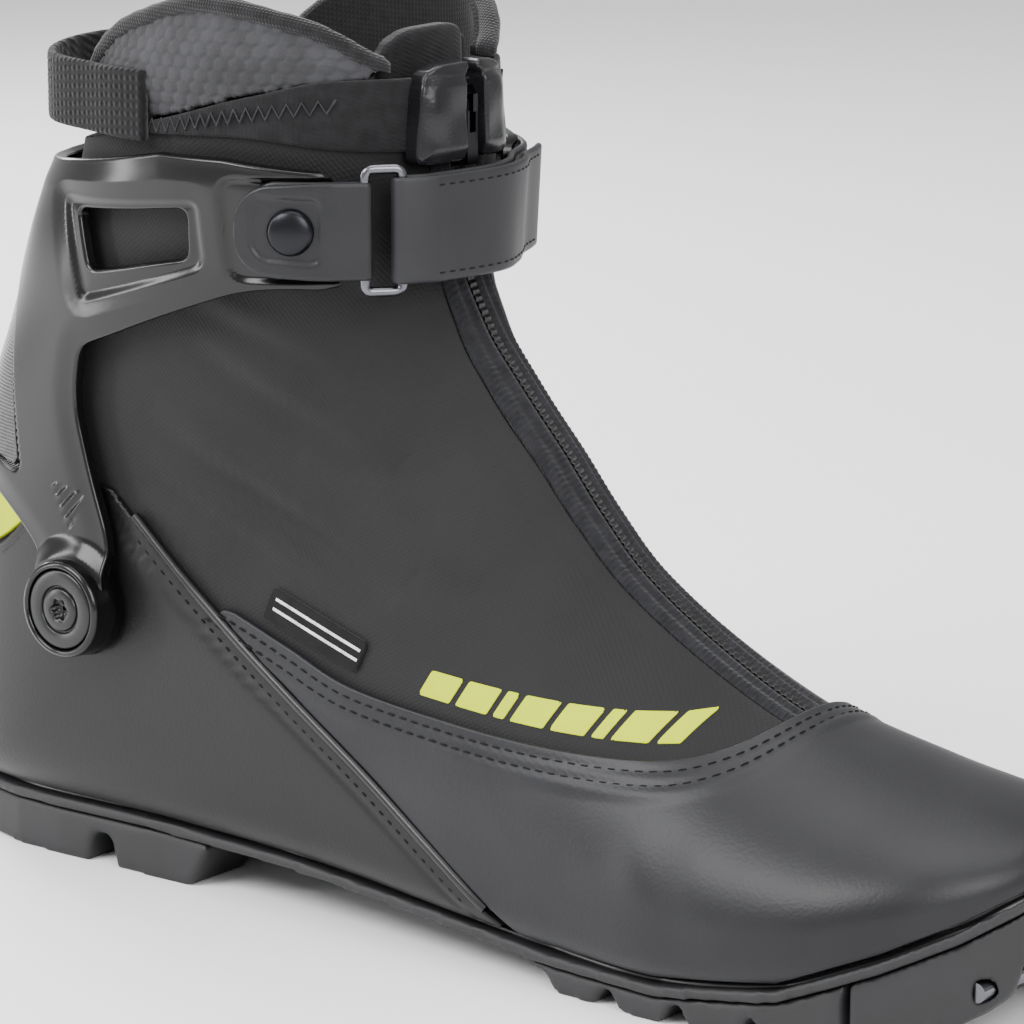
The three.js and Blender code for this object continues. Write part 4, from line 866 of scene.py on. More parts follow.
for side, label in ((-1, "lateral"), (1, "medial")):
    line, normals = side_point(smooth_line(DIAGONAL[2:-4], 90), side, OVER - 0.3)
    dress(swept(f"diagonal_cord_{label}", line, normals, 1.25), "root", TRIM_NYLON,
          f"diagonal_piping_{label}", slot="trim_plastic")
    seam = side_point(smooth_line(moved(DIAGONAL[3:-5], -3.4), 90), side, OVER)
    stitch_row(f"diagonal_stitches_{label}", [seam], "root", length=1.6, gap=1.5, radius=0.24)


def welt_loop(height, rise, count=420):
    """Points and normals once round the boot, at one height on the last and one rise over the welt line."""
    grid = np.linspace(0.05, 11.6, 700)
    rows = []
    for side in (-1, 1):
        far = np.full(len(grid), side * math.pi)
        near = side * 0.2 * np.ones(len(grid))
        for _ in range(30):
            mid = (far + near) / 2
            p = last_point(grid, mid)
            over = welt_rise(p[:, [0, 2]]) - rise
            near = np.where(over > 0, mid, near)
            far = np.where(over > 0, far, mid)
        rows.append(np.stack([grid, near], 1)[over > -0.5])
    path = np.vstack([rows[0], rows[1][::-1]])
    points = on_last(*path.T, np.full(len(path), height))
    ends = np.vstack([points, points[:1]])
    far = np.r_[0, np.cumsum(np.linalg.norm(np.diff(ends, axis=0), axis=1))]
    at = np.linspace(0, far[-1], count, endpoint=False)
    normals = last_normal(*path.T)
    normals = np.vstack([normals, normals[:1]])
    return (np.stack([np.interp(at, far, ends[:, k]) for k in range(3)], 1),
            np.stack([np.interp(at, far, normals[:, k]) for k in range(3)], 1))


bead, bead_normals = welt_loop(OVER - 0.5, 0.0)
dress(swept("featherline_bead", bead, bead_normals, 1.15, closed=True, wobble=0.06), "root", TRIM_NYLON,
      "featherline", slot="trim_plastic")

# %% [markdown]
# ## Softshell cover
# The cover is one flexible sheet from the vamp to the collar, and it crosses the ankle hinge, where the real one
# bends as the cuff moves. Here it is cut as one panel and attached to neither body. Real softshell never lies flat
# at the ankle: diagonal folds fan out from the hinge, and they go into the panel's height.

# %% Softshell
SOFT_TAPE = 8.6


def soft_field(xz, y):
    x, z = xz.T
    front = np.where(x > -30, np.abs(y) - SOFT_TAPE, 99)
    return np.minimum.reduce([above(xz, VAMP_EDGE) + 7, -above(xz, COLLAR_LINE) + 0.3, front,
                              rear_rise(xz, 131)])


# start, end, depth and half width of each fold, in the side view
FOLDS = (((-72, 116), (-2, 84), 1.6, 3.6), ((-74, 104), (-14, 76), 1.0, 3.0), ((-58, 136), (-10, 108), 1.3, 4.0),
         ((-76, 94), (-34, 74), 0.7, 2.6), ((-34, 108), (14, 84), 0.9, 3.6), ((-62, 148), (-22, 128), 0.9, 3.6))
FOLD_DEPTH = 1.35


def folds(xz, y):
    x, z = xz.T
    total = np.zeros(len(xz))
    for start, end, depth, width in FOLDS:
        a, b = np.array(start, float), np.array(end, float)
        t = np.clip(((xz - a) @ (b - a)) / ((b - a) @ (b - a)), 0, 1)
        off = (xz - a - t[:, None] * (b - a)) @ np.array([-(b - a)[1], (b - a)[0]]) / np.linalg.norm(b - a)
        taper = np.sin(np.pi * np.clip(t, 0, 1)) ** 0.7
        crest = np.exp(-(off / width)**2)
        trough = np.exp(-((off + 1.6 * width) / width)**2)
        total += FOLD_DEPTH * depth * taper * (crest - 0.6 * trough)
    return total + 0.25 * np.sin(x * 0.16 + z * 0.05) * np.sin(z * 0.13 - x * 0.03)


def soft_height(xz, y):
    x, z = xz.T
    calm = ease(above(xz, VAMP_EDGE), 3, 16) * ease(-above(xz, COLLAR_LINE), 2, 14) * ease(np.abs(y), 12, 22)
    edge = 0.5 * (1 - ease(np.abs(y), 10.5, 13)) * (x > -20)
    return 0.15 + folds(xz, y) * calm + edge


def over_ankle(obj):
    """Bakes the piece's placement into its mesh; it does not bend it between the lower boot and the cuff."""
    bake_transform(obj)
    return obj


softshell = panel("softshell_cover", soft_field, soft_height, thick=1.3, roll=0.4, span=(4.5, 18.5), step=1.5)
dress(softshell, None, SOFTSHELL, "softshell_lower_lateral", "softshell_lower_medial",
      "softshell_flex_lateral", "softshell_flex_medial", "softshell_shaft", slot="softshell")
over_ankle(softshell)

# %% [markdown]
# ## Lining
# Brushed cloth lines the boot. The lower part stays with the foot; the upper part, like the softshell, is attached
# to neither body. A slot over the instep is left open for the laces.

# %% Lining
TURN_LOW, TURN_REAR = 19, 135


def lining_low_field(xz, y):
    x, z = xz.T
    bend = np.minimum(front_rise(xz, TURN_LOW), rear_rise(xz, TURN_REAR))
    throat = np.where((x > 24) & (x < 80) & (z > 40), np.abs(y) - 17.8, 99)
    return np.minimum.reduce([-bend, welt_rise(xz) + 1, throat])


def lining_high_field(xz, y):
    return np.minimum.reduce([front_rise(xz, TURN_LOW), rear_rise(xz, TURN_REAR),
                              -above(xz, COLLAR_LINE) + 0.8])


def flat_height(value):
    return lambda xz, y: np.full(len(xz), float(value))


dress(panel("lining_foot", lining_low_field, flat_height(-1.75), thick=2.6, roll=0.3, step=2.6, backed=True),
      "root", LINING, "liner_lower", slot="lining")
upper_lining = panel("lining_shaft", lining_high_field, flat_height(-1.75), thick=2.6, roll=0.3, span=(5, 19),
                     step=2.2, backed=True)
dress(upper_lining, None, LINING, "liner_flex", "liner_shaft", slot="lining")
over_ankle(upper_lining)

# %% [markdown]
# ## Front zip
# The zip runs up the instep between two ribbed welts, with a fine coil where they meet. The welts are the ribs you
# see; each is a folded tape, so it stands a little above the softshell. The strip is attached to neither body.

# %% Zip strip
ZIP_EDGE, COIL = 8.3, 1.3


def zip_field(xz, y):
    width = np.abs(y)
    return np.minimum.reduce([ZIP_EDGE - width, width - COIL, above(xz, VAMP_EDGE) + 4,
                              -above(xz, COLLAR_LINE) + 0.3, xz[:, 0] + 40])


def zip_height(xz, y):
    x, z = xz.T
    ribs = 0.8 * np.exp(-((np.abs(y) - 2.9) / 0.9)**2) + 0.95 * np.exp(-((np.abs(y) - 6.1) / 1.2)**2)
    return 0.45 + ribs * (1 + 0.1 * np.sin((z - x) * 3.1))


def coil_field(xz, y):
    return np.minimum.reduce([COIL - 0.15 - np.abs(y), above(xz, VAMP_EDGE) + 2, -above(xz, COLLAR_LINE),
                              xz[:, 0] + 40])


def coil_height(xz, y):
    x, z = xz.T
    return 0.75 + 0.35 * np.sin((z - x) * 2.7) * (1 - (y / COIL)**2)


welts = panel("zip_welts", zip_field, zip_height, thick=1.2, roll=0.25, span=(4.5, 18.5), turn=(-0.5, 0.5),
              step=0.7)
dress(welts, None, ZIP_CLOTH, "zip_tape_lower", "zip_tape_middle", "zip_tape_upper", slot="zip")
over_ankle(welts)
coil = panel("zip_coil", coil_field, coil_height, thick=0.9, roll=0.15, span=(4.5, 18.5), turn=(-0.1, 0.1),
             step=0.5)
dress(coil, None, TRIM_NYLON, "zip_chain_lower", "zip_chain_middle", "zip_chain_upper", slot="zip")
over_ankle(coil)

# %% [markdown]
# ## Tongue and collar
# The tongue and the collar's two lobes are padded. Foam between two cloths is what makes them puff between the
# seams: the outer cloth of the lobes is knitted in a honeycomb, and a plush binding closes their top edge.

# %% Tongue
TONGUE_HALF, TONGUE_TOP = 19, 204


def tongue_field(xz, y):
    top = TONGUE_TOP - xz[:, 1] - 9 * (y / TONGUE_HALF)**4
    return np.minimum.reduce([TONGUE_HALF - 0.4 - np.abs(y), front_rise(xz, 40), top, xz[:, 0] + 60])


def tongue_height(xz, y):
    seam = np.exp(-((np.abs(y) - 14) / 1.0)**2)
    return -5.1 + 0.9 * (1 - (np.abs(y) / TONGUE_HALF)**2) - 0.5 * seam


tongue = panel("tongue_padding", tongue_field, tongue_height, thick=3.4, roll=1.2, span=(8, 19.8),
               turn=(-1.3, 1.3), step=1.4, backed=True)
dress(tongue, "cuff", COLLAR_KNIT, "tongue_upper", slot="collar_knit")

# %% Collar lobes
LOBE = rounded([[-99, 178], [-92, 190, 6], [-80, 202, 10], [-52, 212, 16], [-26, 205, 12], [-17, 196, 5],
                [-20, 193.8], [-39, 190.8], [-66, 183.3], [-90, 179.3]])
CELL = 3.4


def honeycomb(x, z):
    """Distance from the nearest cell wall of a honeycomb, in millimetres."""
    rise = CELL * math.sqrt(3)
    best = np.full(len(x), 1e9)
    second = np.full(len(x), 1e9)
    for dx, dz in ((0, 0), (CELL / 2, rise / 2)):
        for i in (-1, 0, 1):
            for j in (-1, 0, 1):
                cx = (np.floor((x - dx) / CELL) + i + 0.5) * CELL + dx
                cz = (np.floor((z - dz) / rise) + j + 0.5) * rise + dz
                far = np.hypot(x - cx, z - cz)
                second = np.minimum(second, np.maximum(best, far))
                best = np.minimum(best, far)
    return (second - best) / 2


def lobe_height(xz, y):
    x, z = xz.T
    deep = ease(inside(xz, LOBE), 0, 9)
    return 0.2 + 2.6 * deep + 0.5 * ease(honeycomb(x, z), 0, 0.8) - 0.3


for side, label, turn in ((-1, "lateral", (-math.pi, 0)), (1, "medial", (0, math.pi))):
    lobe = panel(f"collar_lobe_{label}", lambda xz, y: inside(xz, LOBE), lobe_height, thick=3.4, roll=1.0,
                 span=(15.5, 19.9), turn=turn, step=0.55)
    dress(lobe, "cuff", LOBE_CLOTH, f"collar_pad_{label}", slot="collar_knit")
    inner = panel(f"collar_lobe_lining_{label}", lambda xz, y: inside(xz, LOBE) + 0.8, flat_height(-2.6),
                  thick=1.8, roll=0.6, span=(15.5, 19.9), turn=turn, step=1.6, backed=True)
    dress(inner, "cuff", LINING, slot="lining")
    edge, edge_normals = side_point(smooth_line(LOBE[2:-6], 110), side, -0.9)
    dress(swept(f"collar_binding_{label}", edge, edge_normals, 2.1, flat=1.25, wobble=0.03), "cuff", BINDING,
          slot="collar_knit")

# %% [markdown]
# ## Collar band
# Below the lobes a smooth knitted band is stretched round the shaft. Elastic thread holds it in a zigzag, because
# a zigzag can stretch with the knit when the foot goes in.

# %% Collar band and its zigzag
COLLAR_LOW = smooth_line([[-150, 176], [-100, 177], [-66, 180], [-40, 181], [-20, 178], [20, 174]], 40)
COLLAR_HIGH = smooth_line([[-150, 183], [-115, 182], [-90, 179], [-66, 183], [-39, 190.5], [-20, 194],
                           [20, 190]], 40)


def band_field(xz, y):
    front = np.where(xz[:, 0] > -40, np.abs(y) - 10, 99)
    return np.minimum.reduce([above(xz, COLLAR_LOW), -above(xz, COLLAR_HIGH), front])


def band_height(xz, y):
    x, z = xz.T
    return 1.7 + 0.35 * np.sin(x * 0.21 + np.abs(y) * 0.2) * np.sin(z * 0.35)


dress(panel("collar_band_knit", band_field, band_height, thick=1.4, roll=0.7, span=(14.5, 19.5)),
      "cuff", COLLAR_KNIT, "collar_band", slot="collar_knit")
for side, label in ((-1, "lateral"), (1, "medial")):
    guide = smooth_line([[-69, 181.4], [-55, 183.6], [-40, 186.4], [-24, 188.6]], 34)
    guide[:, 1] += np.where(np.arange(len(guide)) % 2, 1.5, -1.5)
    line, normals = side_point(guide, side, 1.95)
    dress(swept(f"collar_zigzag_{label}", line, normals, 0.34, sides=6), "cuff", GREY_THREAD, slot="webbing")

# %% [markdown]
# # The cuff
# A stiff frame of glossy nylon stands beside the ankle. It has a window on each side, a shallow seat for the strap
# tab and a boss round the hinge bolt. Its edges are rounded and its faces slightly domed, as moulded parts are.

# %% Cuff outline and relief
CUFF_OUTLINE = rounded([[-170, 166], [-108, 167.5], [-86, 172], [-60, 177], [-44, 177], [-24, 174.4, 4],
                        [-23.5, 148, 5], [-41, 148.5, 8], [-62, 140, 6], [-88, 129, 4], [-91, 116, 10],
                        [-86.5, 98, 10], [-81.5, 84, 4], [-80.5, 66, 6], [-92, 60], [-101, 68], [-104, 79, 4],
                        [-112, 86, 6], [-128, 95, 8], [-150, 99], [-170, 99]])
WINDOW = rounded([[-86, 160.8, 2.5], [-53.5, 165, 2.5], [-54.5, 153.8, 3], [-83.5, 147.5, 2.5]])
WINDOW_RECESS = rounded([[-91, 163.5, 4], [-49.5, 168.5, 4], [-49.5, 152, 4], [-60, 148, 6], [-87, 139, 4]])
TAB_RECESS = rounded([[-46, 174, 5], [0, 173.6], [0, 149.5], [-46, 149.5, 5]])
SPINE = rounded([[-170, 158, 3], [-113.5, 156, 4], [-111.5, 120, 8], [-108, 95, 3], [-124, 99, 6],
                 [-146, 104], [-170, 104]])
CUFF_TOP, WALL, RECESS = 6.9, 2.6, 1.2
FACET = np.array([[-98, 96], [-88, 94], [-92, 84]])


def cuff_field(xz, y):
    return np.minimum(inside(xz, CUFF_OUTLINE), -inside(xz, WINDOW))


def cuff_height(xz, y):
    x, z = xz.T
    edge = np.minimum(inside(xz, CUFF_OUTLINE), np.abs(inside(xz, WINDOW_RECESS)) + 2)
    crown = 0.7 * ease(edge, 0, 7) - 0.45
    sunk = np.maximum.reduce([ease(inside(xz, WINDOW_RECESS), 0, 2.4), ease(inside(xz, TAB_RECESS), 0, 2.0),
                              ease(inside(xz, SPINE), 0, 0.9)])
    hub = np.hypot(x - PIVOT[0], z - PIVOT[1])
    ribs = 0.35 * np.sin((x - z) * 1.7) * ease(inside(xz, FACET), 0, 1)
    return CUFF_TOP + crown - (RECESS + 0.15) * sunk + 2.6 * (1 - ease(hub, 11.5, 17)) + ribs


dress(panel("cuff_moulding", cuff_field, cuff_height, thick=WALL, roll=0.9, span=(5, 17.8), step=0.6,
            backed=True), "cuff", CUFF_NYLON, "cuff_shell", slot="gloss_plastic")

CHECK = rounded([[-170, 157.4, 3], [-114.1, 155.4, 4], [-112.1, 120, 8], [-109.4, 96.5, 2.5], [-124, 99.7, 6],
                 [-146, 104.6], [-170, 104.6]])
dress(panel("spine_check", lambda xz, y: inside(xz, CHECK), flat_height(CUFF_TOP - 0.25), thick=0.8, roll=0.3,
            span=(9, 17)), "cuff", carbon_check(), "spine_insert", slot="gloss_plastic")

# %% [markdown]
# ## Hinge bosses and bolts
# The boss is a ring standing on the cuff arm; the bolt's wide flat head sits in it. The head has a turned ring
# groove and a small six-lobed socket, all one turned profile whose inner rings change from round to lobed.


# %% Turned parts
def turned(name, profile, origin, axis, sides=48, lobed=()):
    """A turned solid. profile is (radius, height) from the outside in; lobed rings follow a star."""
    axis = unit(np.array(axis, float))
    u = unit(np.cross(axis, [0.0, 0.13, 1.0] if abs(axis[2]) < 0.9 else [1.0, 0, 0]))
    v = np.cross(axis, u)
    points, faces = [], []
    for i, (radius, height) in enumerate(profile):
        for k in range(sides):
            a = 2 * math.pi * k / sides
            r = radius * (1 + (0.13 * math.cos(6 * a) if i in lobed else 0))
            points.append(np.array(origin) + axis * height + r * (math.cos(a) * u + math.sin(a) * v))
    for i in range(len(profile) - 1):
        for k in range(sides):
            low, high = i * sides, (i + 1) * sides
            faces.append([low + k, low + (k + 1) % sides, high + (k + 1) % sides, high + k])
    faces.append([k for k in range(sides)][::-1])
    faces.append([(len(profile) - 1) * sides + k for k in range(sides)])
    return new_object(name, points, faces)


BOSS, CAP, BOSS_FACE = 11.5, 9.4, 49.2
for side, label in ((-1, "lateral"), (1, "medial")):
    boss = [(BOSS + 0.8, 41), (BOSS + 0.2, 44), (BOSS, 47.9), (BOSS - 0.15, 48.5), (BOSS - 0.5, 48.95),
            (BOSS - 1.0, BOSS_FACE), (CAP + 0.85, BOSS_FACE), (CAP + 0.5, 49.0), (CAP + 0.3, 48.6),
            (CAP + 0.3, 46.9)]
    hub = [PIVOT[0], 0, PIVOT[1]]
    dress(turned(f"cuff_boss_{label}", boss, hub, (0, side, 0)), "cuff", CUFF_NYLON, slot="gloss_plastic")
    bolt = [(CAP, 46.9), (CAP, 48.3), (CAP - 0.2, 48.65), (CAP - 0.6, 48.85), (6.0, 48.9), (5.75, 48.75),
            (5.6, 48.2), (5.35, 47.95), (5.1, 48.2), (4.95, 48.75), (4.7, 48.95), (3.2, 49.0), (2.5, 48.95),
            (2.35, 48.75), (2.25, 47.0), (0.6, 46.9)]
    head = turned(f"hinge_bolt_{label}", bolt, hub, (0, side, 0), sides=72, lobed=(12, 13, 14))
    dress(head, "root", TRIM_NYLON, f"pivot_bolt_{label}", slot="trim_plastic")

# %% [markdown]
# # Strap
# The ankle strap is a ribbon of coated microfibre. It starts under a rivet on the inner side, runs round the front,
# turns through the wire ring and comes back over itself, held by a layer of hook-and-loop. In plan the ribbon is
# one line; it has two such lines, for its lower and upper edge, so that it can hug the shaft below.


# %% Ribbons
def plan_point(x, side, offset, z):
    """Plan position of a point that stands off the shaft's side."""
    s, angle = side_to_last([[x, z]], side)
    out = unit(last_normal(s, angle)[0, :2])
    return last_point(s, angle)[0, :2] + out * offset


def plan_normals(line):
    t = unit(np.gradient(line, axis=0))
    return np.stack([-t[:, 1], t[:, 0]], 1)


def beside(line, distance):
    return line + plan_normals(line) * distance


def ribbon(name, low, high, z_low, z_high, thick, relief=None, rows=16):
    """A ribbon between two plan lines, rounded along both edges. relief(u, v) lifts its left face."""
    count = len(low)
    z_low, z_high = np.broadcast_to(z_low, count), np.broadcast_to(z_high, count)
    far = np.r_[0, np.cumsum(np.linalg.norm(np.diff((low + high) / 2, axis=0), axis=1))]
    tall = np.maximum(z_high - z_low, 0.01)
    below, above_it = plan_normals(low), plan_normals(high)
    r = thick / 2
    cuts = np.r_[0, 0.13 * r, 0.5 * r, r]
    points = []
    for i in range(count):
        edge = cuts[None] / tall[i]
        edge = np.minimum(edge[0], 0.5)
        v = np.r_[edge, np.linspace(edge[-1], 1 - edge[-1], rows)[1:-1], 1 - edge[::-1]]
        gone = np.minimum(v, 1 - v) * tall[i]
        half = r * np.sqrt(np.clip(1 - (1 - np.clip(gone / r, 0, 1))**2, 0, 1))
        n = unit((1 - v)[:, None] * below[i] + v[:, None] * above_it[i])
        plan = (1 - v)[:, None] * low[i] + v[:, None] * high[i]
        lift = relief(np.full(len(v), far[i]), v * tall[i]) if relief else np.zeros(len(v))
        z = z_low[i] + v * tall[i]
        left = np.column_stack([plan + n * (half + lift)[:, None], z])
        right = np.column_stack([plan - n * half[:, None], z])
        points.append(np.vstack([left, right[::-1][1:-1]]))
    around = len(points[0])
    faces = []
    for i in range(count - 1):
        for k in range(around):
            a, b = i * around, (i + 1) * around
            faces.append([a + k, b + k, b + (k + 1) % around, a + (k + 1) % around])
    faces.append([k for k in range(around)])
    faces.append([(count - 1) * around + k for k in range(around)][::-1])
    return new_object(name, np.vstack(points), faces)


# %% Strap and hook-and-loop
STRAP_Z, STRAP_HALF, STRAP_THICK, PITCH = 161.5, 12.0, 1.7, 3.4
TAB_THICK, TAB_STAND, TAB_PITCH, TAB_HALF = 1.5, 7.65, 1.8, 11.0
REAR_WIRE = np.array([-14.581, -30.081])
FRONT_WIRE = np.array([-9.092, -23.591])
ahead = unit(FRONT_WIRE - REAR_WIRE)
outward = np.array([ahead[1], -ahead[0]])


def strap_line(lean):
    """Plan of the strap's under layer; lean pulls its free front part towards the shaft."""
    fixed = [plan_point(x, 1, off, STRAP_Z) for x, off in ((-39.5, 8.95), (-31.5, 8.95))]
    free = [plan_point(-23, 1, 7.6 - 0.8 * lean, STRAP_Z), plan_point(-16.5, 1, 4.9 - 0.9 * lean, STRAP_Z)]
    front = [np.array([-6.6, 11.5]) - [0.7 * lean, 0.7 * lean], np.array([-4.4, 0])]
    meets = [FRONT_WIRE + ahead * 4.5 - outward * PITCH / 2]
    return smooth_line(fixed + free + front + meets, 60)


def half_turn(centre, heading, radius):
    """Half a turn round an upright, from its inner side to its outer side."""
    return np.array([centre - outward * radius * math.cos(a) + heading * radius * math.sin(a)
                     for a in np.linspace(0, math.pi, 11)])


def strap_path(lean):
    under = strap_line(lean)
    over = beside(under, PITCH)[::-1]
    return np.vstack([under[:-1], half_turn(FRONT_WIRE, -ahead, PITCH / 2), over[1:42]])


low, high = strap_path(1.5), strap_path(0.0)
print("strap runs", [round(v, 1) for v in (*low.min(0), *low.max(0))])


strap = ribbon("ankle_strap_coated", low, high, STRAP_Z - STRAP_HALF, STRAP_Z + STRAP_HALF, STRAP_THICK)
dress(strap, "cuff", STRAP_COAT, "ankle_strap", slot="strap")
pad_low, pad_high = beside(strap_line(1.5), PITCH / 2)[22:54], beside(strap_line(0.0), PITCH / 2)[22:54]
PAD_HALF, PAD_THICK = STRAP_HALF - 0.8, 1.3
dress(ribbon("strap_hook_and_loop", pad_low, pad_high, STRAP_Z - PAD_HALF, STRAP_Z + PAD_HALF, PAD_THICK),
      "cuff", HOOK_CLOTH, "hook_pad", slot="hook")


def ribbon_seam(low, high, z, share, stand, rows):
    """Points and normals of a seam at one share of a ribbon's height, on its right face."""
    plan = ((1 - share) * low + share * high)[rows]
    n = -plan_normals(plan)
    return (np.column_stack([plan + n * stand, np.full(len(plan), z)]),
            np.column_stack([n, np.zeros(len(plan))]))


turns = len(strap_line(0)) + 11
outer = slice(turns - 1, -1)
SEAM = 9.9            # seam height above and below the strap's middle
seams = [ribbon_seam(low, high, STRAP_Z + side * SEAM, 0.5 + side * 0.41, STRAP_THICK / 2 + 0.05, outer)
         for side in (-1, 1)]
stitch_row("strap_stitches", seams, "cuff", length=1.9, gap=1.0)

# %% [markdown]
# ## Strap tab
# The tab is a moulded tongue, folded round the rear wire of the ring and riveted to the cuff. Its rear end is
# rounded and a shallow panel is pressed into its face round the rivet.

# %% Tab
steps = np.arange(-38, -24.9, 1.3)
inner_run = np.array([plan_point(x, -1, TAB_STAND, STRAP_Z) for x in steps])
outer_run = np.array([plan_point(x, -1, TAB_STAND + TAB_PITCH, STRAP_Z) for x in np.arange(-25, -42.6, -1.1)])
fold = half_turn(REAR_WIRE, ahead, TAB_PITCH / 2 + 0.02)
tab_line = smooth_line(np.vstack([inner_run, fold, outer_run]), 110)
far = np.r_[0, np.cumsum(np.linalg.norm(np.diff(tab_line, axis=0), axis=1))]
left_over = far[-1] - far
ROUND = 8.5
half = TAB_HALF - 0.9 * ease(left_over, 22, 0)
half = half - ROUND * (1 - np.sqrt(np.clip(1 - (1 - np.clip(left_over / ROUND, 0, 1))**2, 0, 1)))
start_round = np.clip(far / 5.0, 0, 1)
half = half - 4 * (1 - np.sqrt(np.clip(1 - (1 - start_round)**2, 0, 1)))
PRESSED = rounded([[3.5, 3.5, 4], [20, 3.2, 3], [20, 18.8, 3], [3.5, 18.5, 4]])


def tab_relief(u, v):
    """A pressed panel near the free end of the outer layer."""
    back = far[-1] - u
    seat = ease(inside(np.column_stack([back, v]), PRESSED), 0, 1.0)
    return 0.15 - 0.6 * seat


tab = ribbon("strap_tab_moulded", tab_line, tab_line, STRAP_Z - half, STRAP_Z + half, TAB_THICK,
             relief=tab_relief, rows=44)
dress(tab, "cuff", TAB_COAT, "strap_tab", slot="tab")

# %% Rivets and ring
RIVET = -31.5
for side, label, stand, hidden in ((-1, "tab", TAB_STAND + TAB_PITCH + TAB_THICK / 2, "tab_rivet"),
                                   (1, "strap", 8.95 + STRAP_THICK / 2, "strap_rivet")):
    foot = plan_point(RIVET, side, stand, STRAP_Z)
    out = foot - plan_point(RIVET, side, stand - 1, STRAP_Z)
    dome = [(5.3, -0.6), (5.3, 0.15), (5.15, 0.45)] + [(5.0 * math.cos(a), 0.55 + 1.5 * math.sin(a))
                                                      for a in np.linspace(0.1, 1.45, 9)]
    rivet = turned(f"{label}_rivet_head", dome, [*foot, STRAP_Z], (*out, 0))
    dress(rivet, "cuff", DARK_STEEL, hidden, slot="steel")

REACH, WIRE, BENT = 13.8, 1.15, 2.0
corners = [(REAR_WIRE, -1), (FRONT_WIRE, -1), (FRONT_WIRE, 1), (REAR_WIRE, 1)]
frame_line = [np.array([*p, STRAP_Z + end * REACH]) for p, end in corners]
ring_path = []
for i, corner in enumerate(frame_line):
    before = unit(frame_line[i - 1] - corner) * BENT
    after = unit(frame_line[(i + 1) % 4] - corner) * BENT
    ring_path += [(1 - t)**2 * (corner + before) + 2 * t * (1 - t) * corner + t**2 * (corner + after)
                  for t in np.linspace(0, 1, 7)]
ring_path = np.array(ring_path)
ring = swept("wire_ring", ring_path, np.tile([*outward, 0], (len(ring_path), 1)), WIRE, closed=True, sides=14)
dress(ring, "strap_ring", STEEL, "strap_ring", slot="steel")

# %% [markdown]
# ## Pull loop, label and print
# A webbing loop at the back helps to pull the boot on. A small woven label sits under the vamp's edge, and a row of
# slanted yellow bars is printed over it on the outer side.

# %% Pull loop
LOOP_Z, LOOP_TALL, LOOP_THICK, LOOP_STAND = 178.5, 16, 2.0, 3.2
sides_of_loop = {side: [plan_point(x, side, LOOP_STAND, LOOP_Z + LOOP_TALL / 2) for x in (-66, -75, -84)]
                 for side in (-1, 1)}
loop_line = smooth_line(sides_of_loop[-1] + [np.array(p, float) for p in (
    (-103, -34), (-115, -19), (-120, 0), (-115, 19), (-103, 34))] + sides_of_loop[1][::-1], 120)
loop = ribbon("pull_loop_webbing", loop_line, loop_line, LOOP_Z, LOOP_Z + LOOP_TALL, LOOP_THICK,
              relief=lambda u, v: 0.18 * np.sin(u * 3.0) * np.sin(v * 3.3), rows=26)
dress(loop, "cuff", WEBBING, "pull_loop", slot="webbing")

# %% Label and printed bars
LABEL = rounded([[-40, 70.5, 1], [-12.5, 62, 1], [-10, 69, 1], [-37.5, 78, 1]])
dress(panel("label_woven", lambda xz, y: inside(xz, LABEL), flat_height(1.15), thick=0.7, roll=0.2,
            span=(6, 12), turn=(-math.pi, 0), step=0.8), "root", LABEL_CLOTH, "woven_label", slot="label")
for row, (a, b) in enumerate((((-36.4, 75.2), (-11.6, 67.0)), ((-37.0, 73.0), (-12.2, 64.8)))):
    line, normals = side_point(smooth_line([a, b], 40), -1, 1.12)
    stripe = swept(f"label_line_{row + 1}", line, normals, 0.38, sides=8, flat=0.4)
    dress(stripe, "root", WHITE_THREAD, slot="label")

near_edge, far_edge = moved(VAMP_EDGE, 3.4), moved(VAMP_EDGE, 9.2)
BARS = []
begin = 5.0
for width in (8.5, 8.5, 3.0, 8.5, 8.5, 3.0, 8.5, 5.0):
    ends = [begin, begin + width]
    low_corners = [[x, np.interp(x, near_edge[:, 0], near_edge[:, 1])] for x in ends]
    high_corners = [[x + 2.6, np.interp(x + 2.6, far_edge[:, 0], far_edge[:, 1])] for x in ends]
    BARS.append(rounded([low_corners[0], low_corners[1], high_corners[1], high_corners[0]]))
    begin += width + 1.6
bars = panel("printed_bars", lambda xz, y: np.maximum.reduce([inside(xz, bar) for bar in BARS]),
             lambda xz, y: soft_height(xz, y) + 0.25, thick=0.3, roll=0.08, span=(4.5, 10), turn=(-2.4, -0.1),
             step=0.6)
dress(bars, "root", YELLOW_PRINT, slot="yellow_print")

# %% [markdown]
# ## Zip garage
# A glossy folded flap covers the top of the zip, so the slider does not rub the shin. It is padded and creased,
# with a slot for the slider.

# %% Zip garage
FLAP = rounded([[-16, 174.3, 3], [12.5, 174.3, 3], [11.5, 197, 7], [-14, 197, 7]])


SLOT_HALF, SLOT_TOP = 2.9, 192.5


def flap_field(xz, y):
    at = np.column_stack([y, xz[:, 1]])
    slot = np.hypot(y, np.maximum(xz[:, 1] - SLOT_TOP, 0)) - SLOT_HALF
    return np.minimum.reduce([inside(at, FLAP), slot, xz[:, 0] + 60])


def flap_height(xz, y):
    z = xz[:, 1]
    at = np.column_stack([y, z])
    puff = 1.2 * ease(inside(at, FLAP), 0, 4)
    crease = 0.35 * np.sin(z * 0.42 + y * 0.12) * np.sin(y * 0.5 + 1) - 0.5 * np.exp(-((z - 193.5) / 0.9)**2)
    return 6.4 + puff + crease


dress(panel("zip_garage_folded", flap_field, flap_height, thick=4.6, roll=0.9, span=(16, 19.5),
            turn=(-0.9, 0.9), step=0.7, backed=True), "cuff", GARAGE_COAT, "zip_garage", slot="strap")

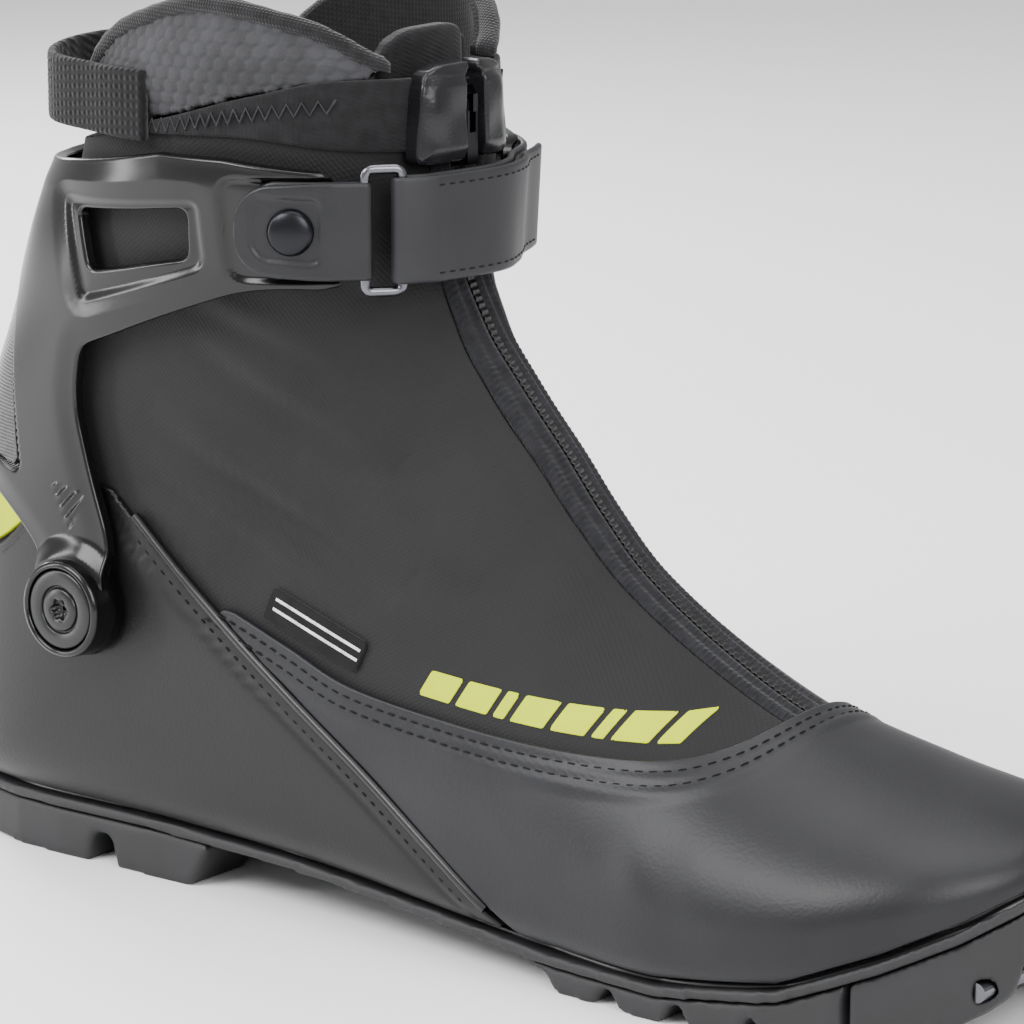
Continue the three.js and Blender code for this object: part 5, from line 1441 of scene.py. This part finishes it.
# %% [markdown]
# # Sole
# The sole is moulded rubber. The frame's sole parts have knife-sharp edges, so each is copied, remeshed finely and
# smoothed: that rounds every edge by about a millimetre, like a worn mould.


# %% Rounded rubber
def softened(name, new_name, body, material, voxel_mm, passes, slot):
    source = bpy.data.objects[name]
    copy = bpy.data.objects.new(new_name + "_work", source.data.copy())
    copy.matrix_world = source.matrix_world
    bpy.context.scene.collection.objects.link(copy)
    remesh = copy.modifiers.new("remesh", "REMESH")
    remesh.mode = "VOXEL"
    remesh.voxel_size = voxel_mm * MM
    smooth = copy.modifiers.new("smooth", "SMOOTH")
    smooth.factor, smooth.iterations = 0.5, passes
    graph = bpy.context.evaluated_depsgraph_get()
    mesh = bpy.data.meshes.new_from_object(copy.evaluated_get(graph))
    mesh.transform(source.matrix_world)
    bpy.data.objects.remove(copy)
    mesh.shade_smooth()
    obj = bpy.data.objects.new(new_name, mesh)
    bpy.context.scene.collection.objects.link(obj)
    print(f"{new_name}: {len(mesh.polygons)} faces")
    return dress(obj, body, material, name, slot=slot)


for name, voxel, passes in (("heel_tread", 0.8, 6), ("forefoot_tread", 0.8, 6), ("toe_block", 0.8, 6),
                            ("sole_plate", 0.9, 3)):
    softened(name, f"{name}_rubber", "root", SOLE_RUBBER, voxel, passes, "rubber")

# %% [markdown]
# ## Parts left as they are
# The pieces inside the boot and the bar in the toe keep the frame's shape and only take a material.

# %% Materials of the remaining parts
LEFT = {STEEL: ["toe_bar"], DARK_STEEL: ["zip_slider", "zip_pull"], INSOLE_FOAM: ["insole"],
        STIFF_SHEET: ["toe_puff", "heel_counter", "lasting_board"], LINING: ["vamp_lining", "tongue_lower"],
        ZIP_CLOTH: ["lace_stay_lateral", "lace_stay_medial"], LACE_CORD: ["laces"]}
for material, names in LEFT.items():
    for name in names:
        bpy.data.objects[name].data.materials.clear()
        bpy.data.objects[name].data.materials.append(material)
for name in frame["nodes"]:
    name = name if isinstance(name, str) else name["name"]
    obj = bpy.data.objects.get(name)
    if obj and obj.hide_render:
        obj.data.materials.clear()
        obj.data.materials.append(LINING)
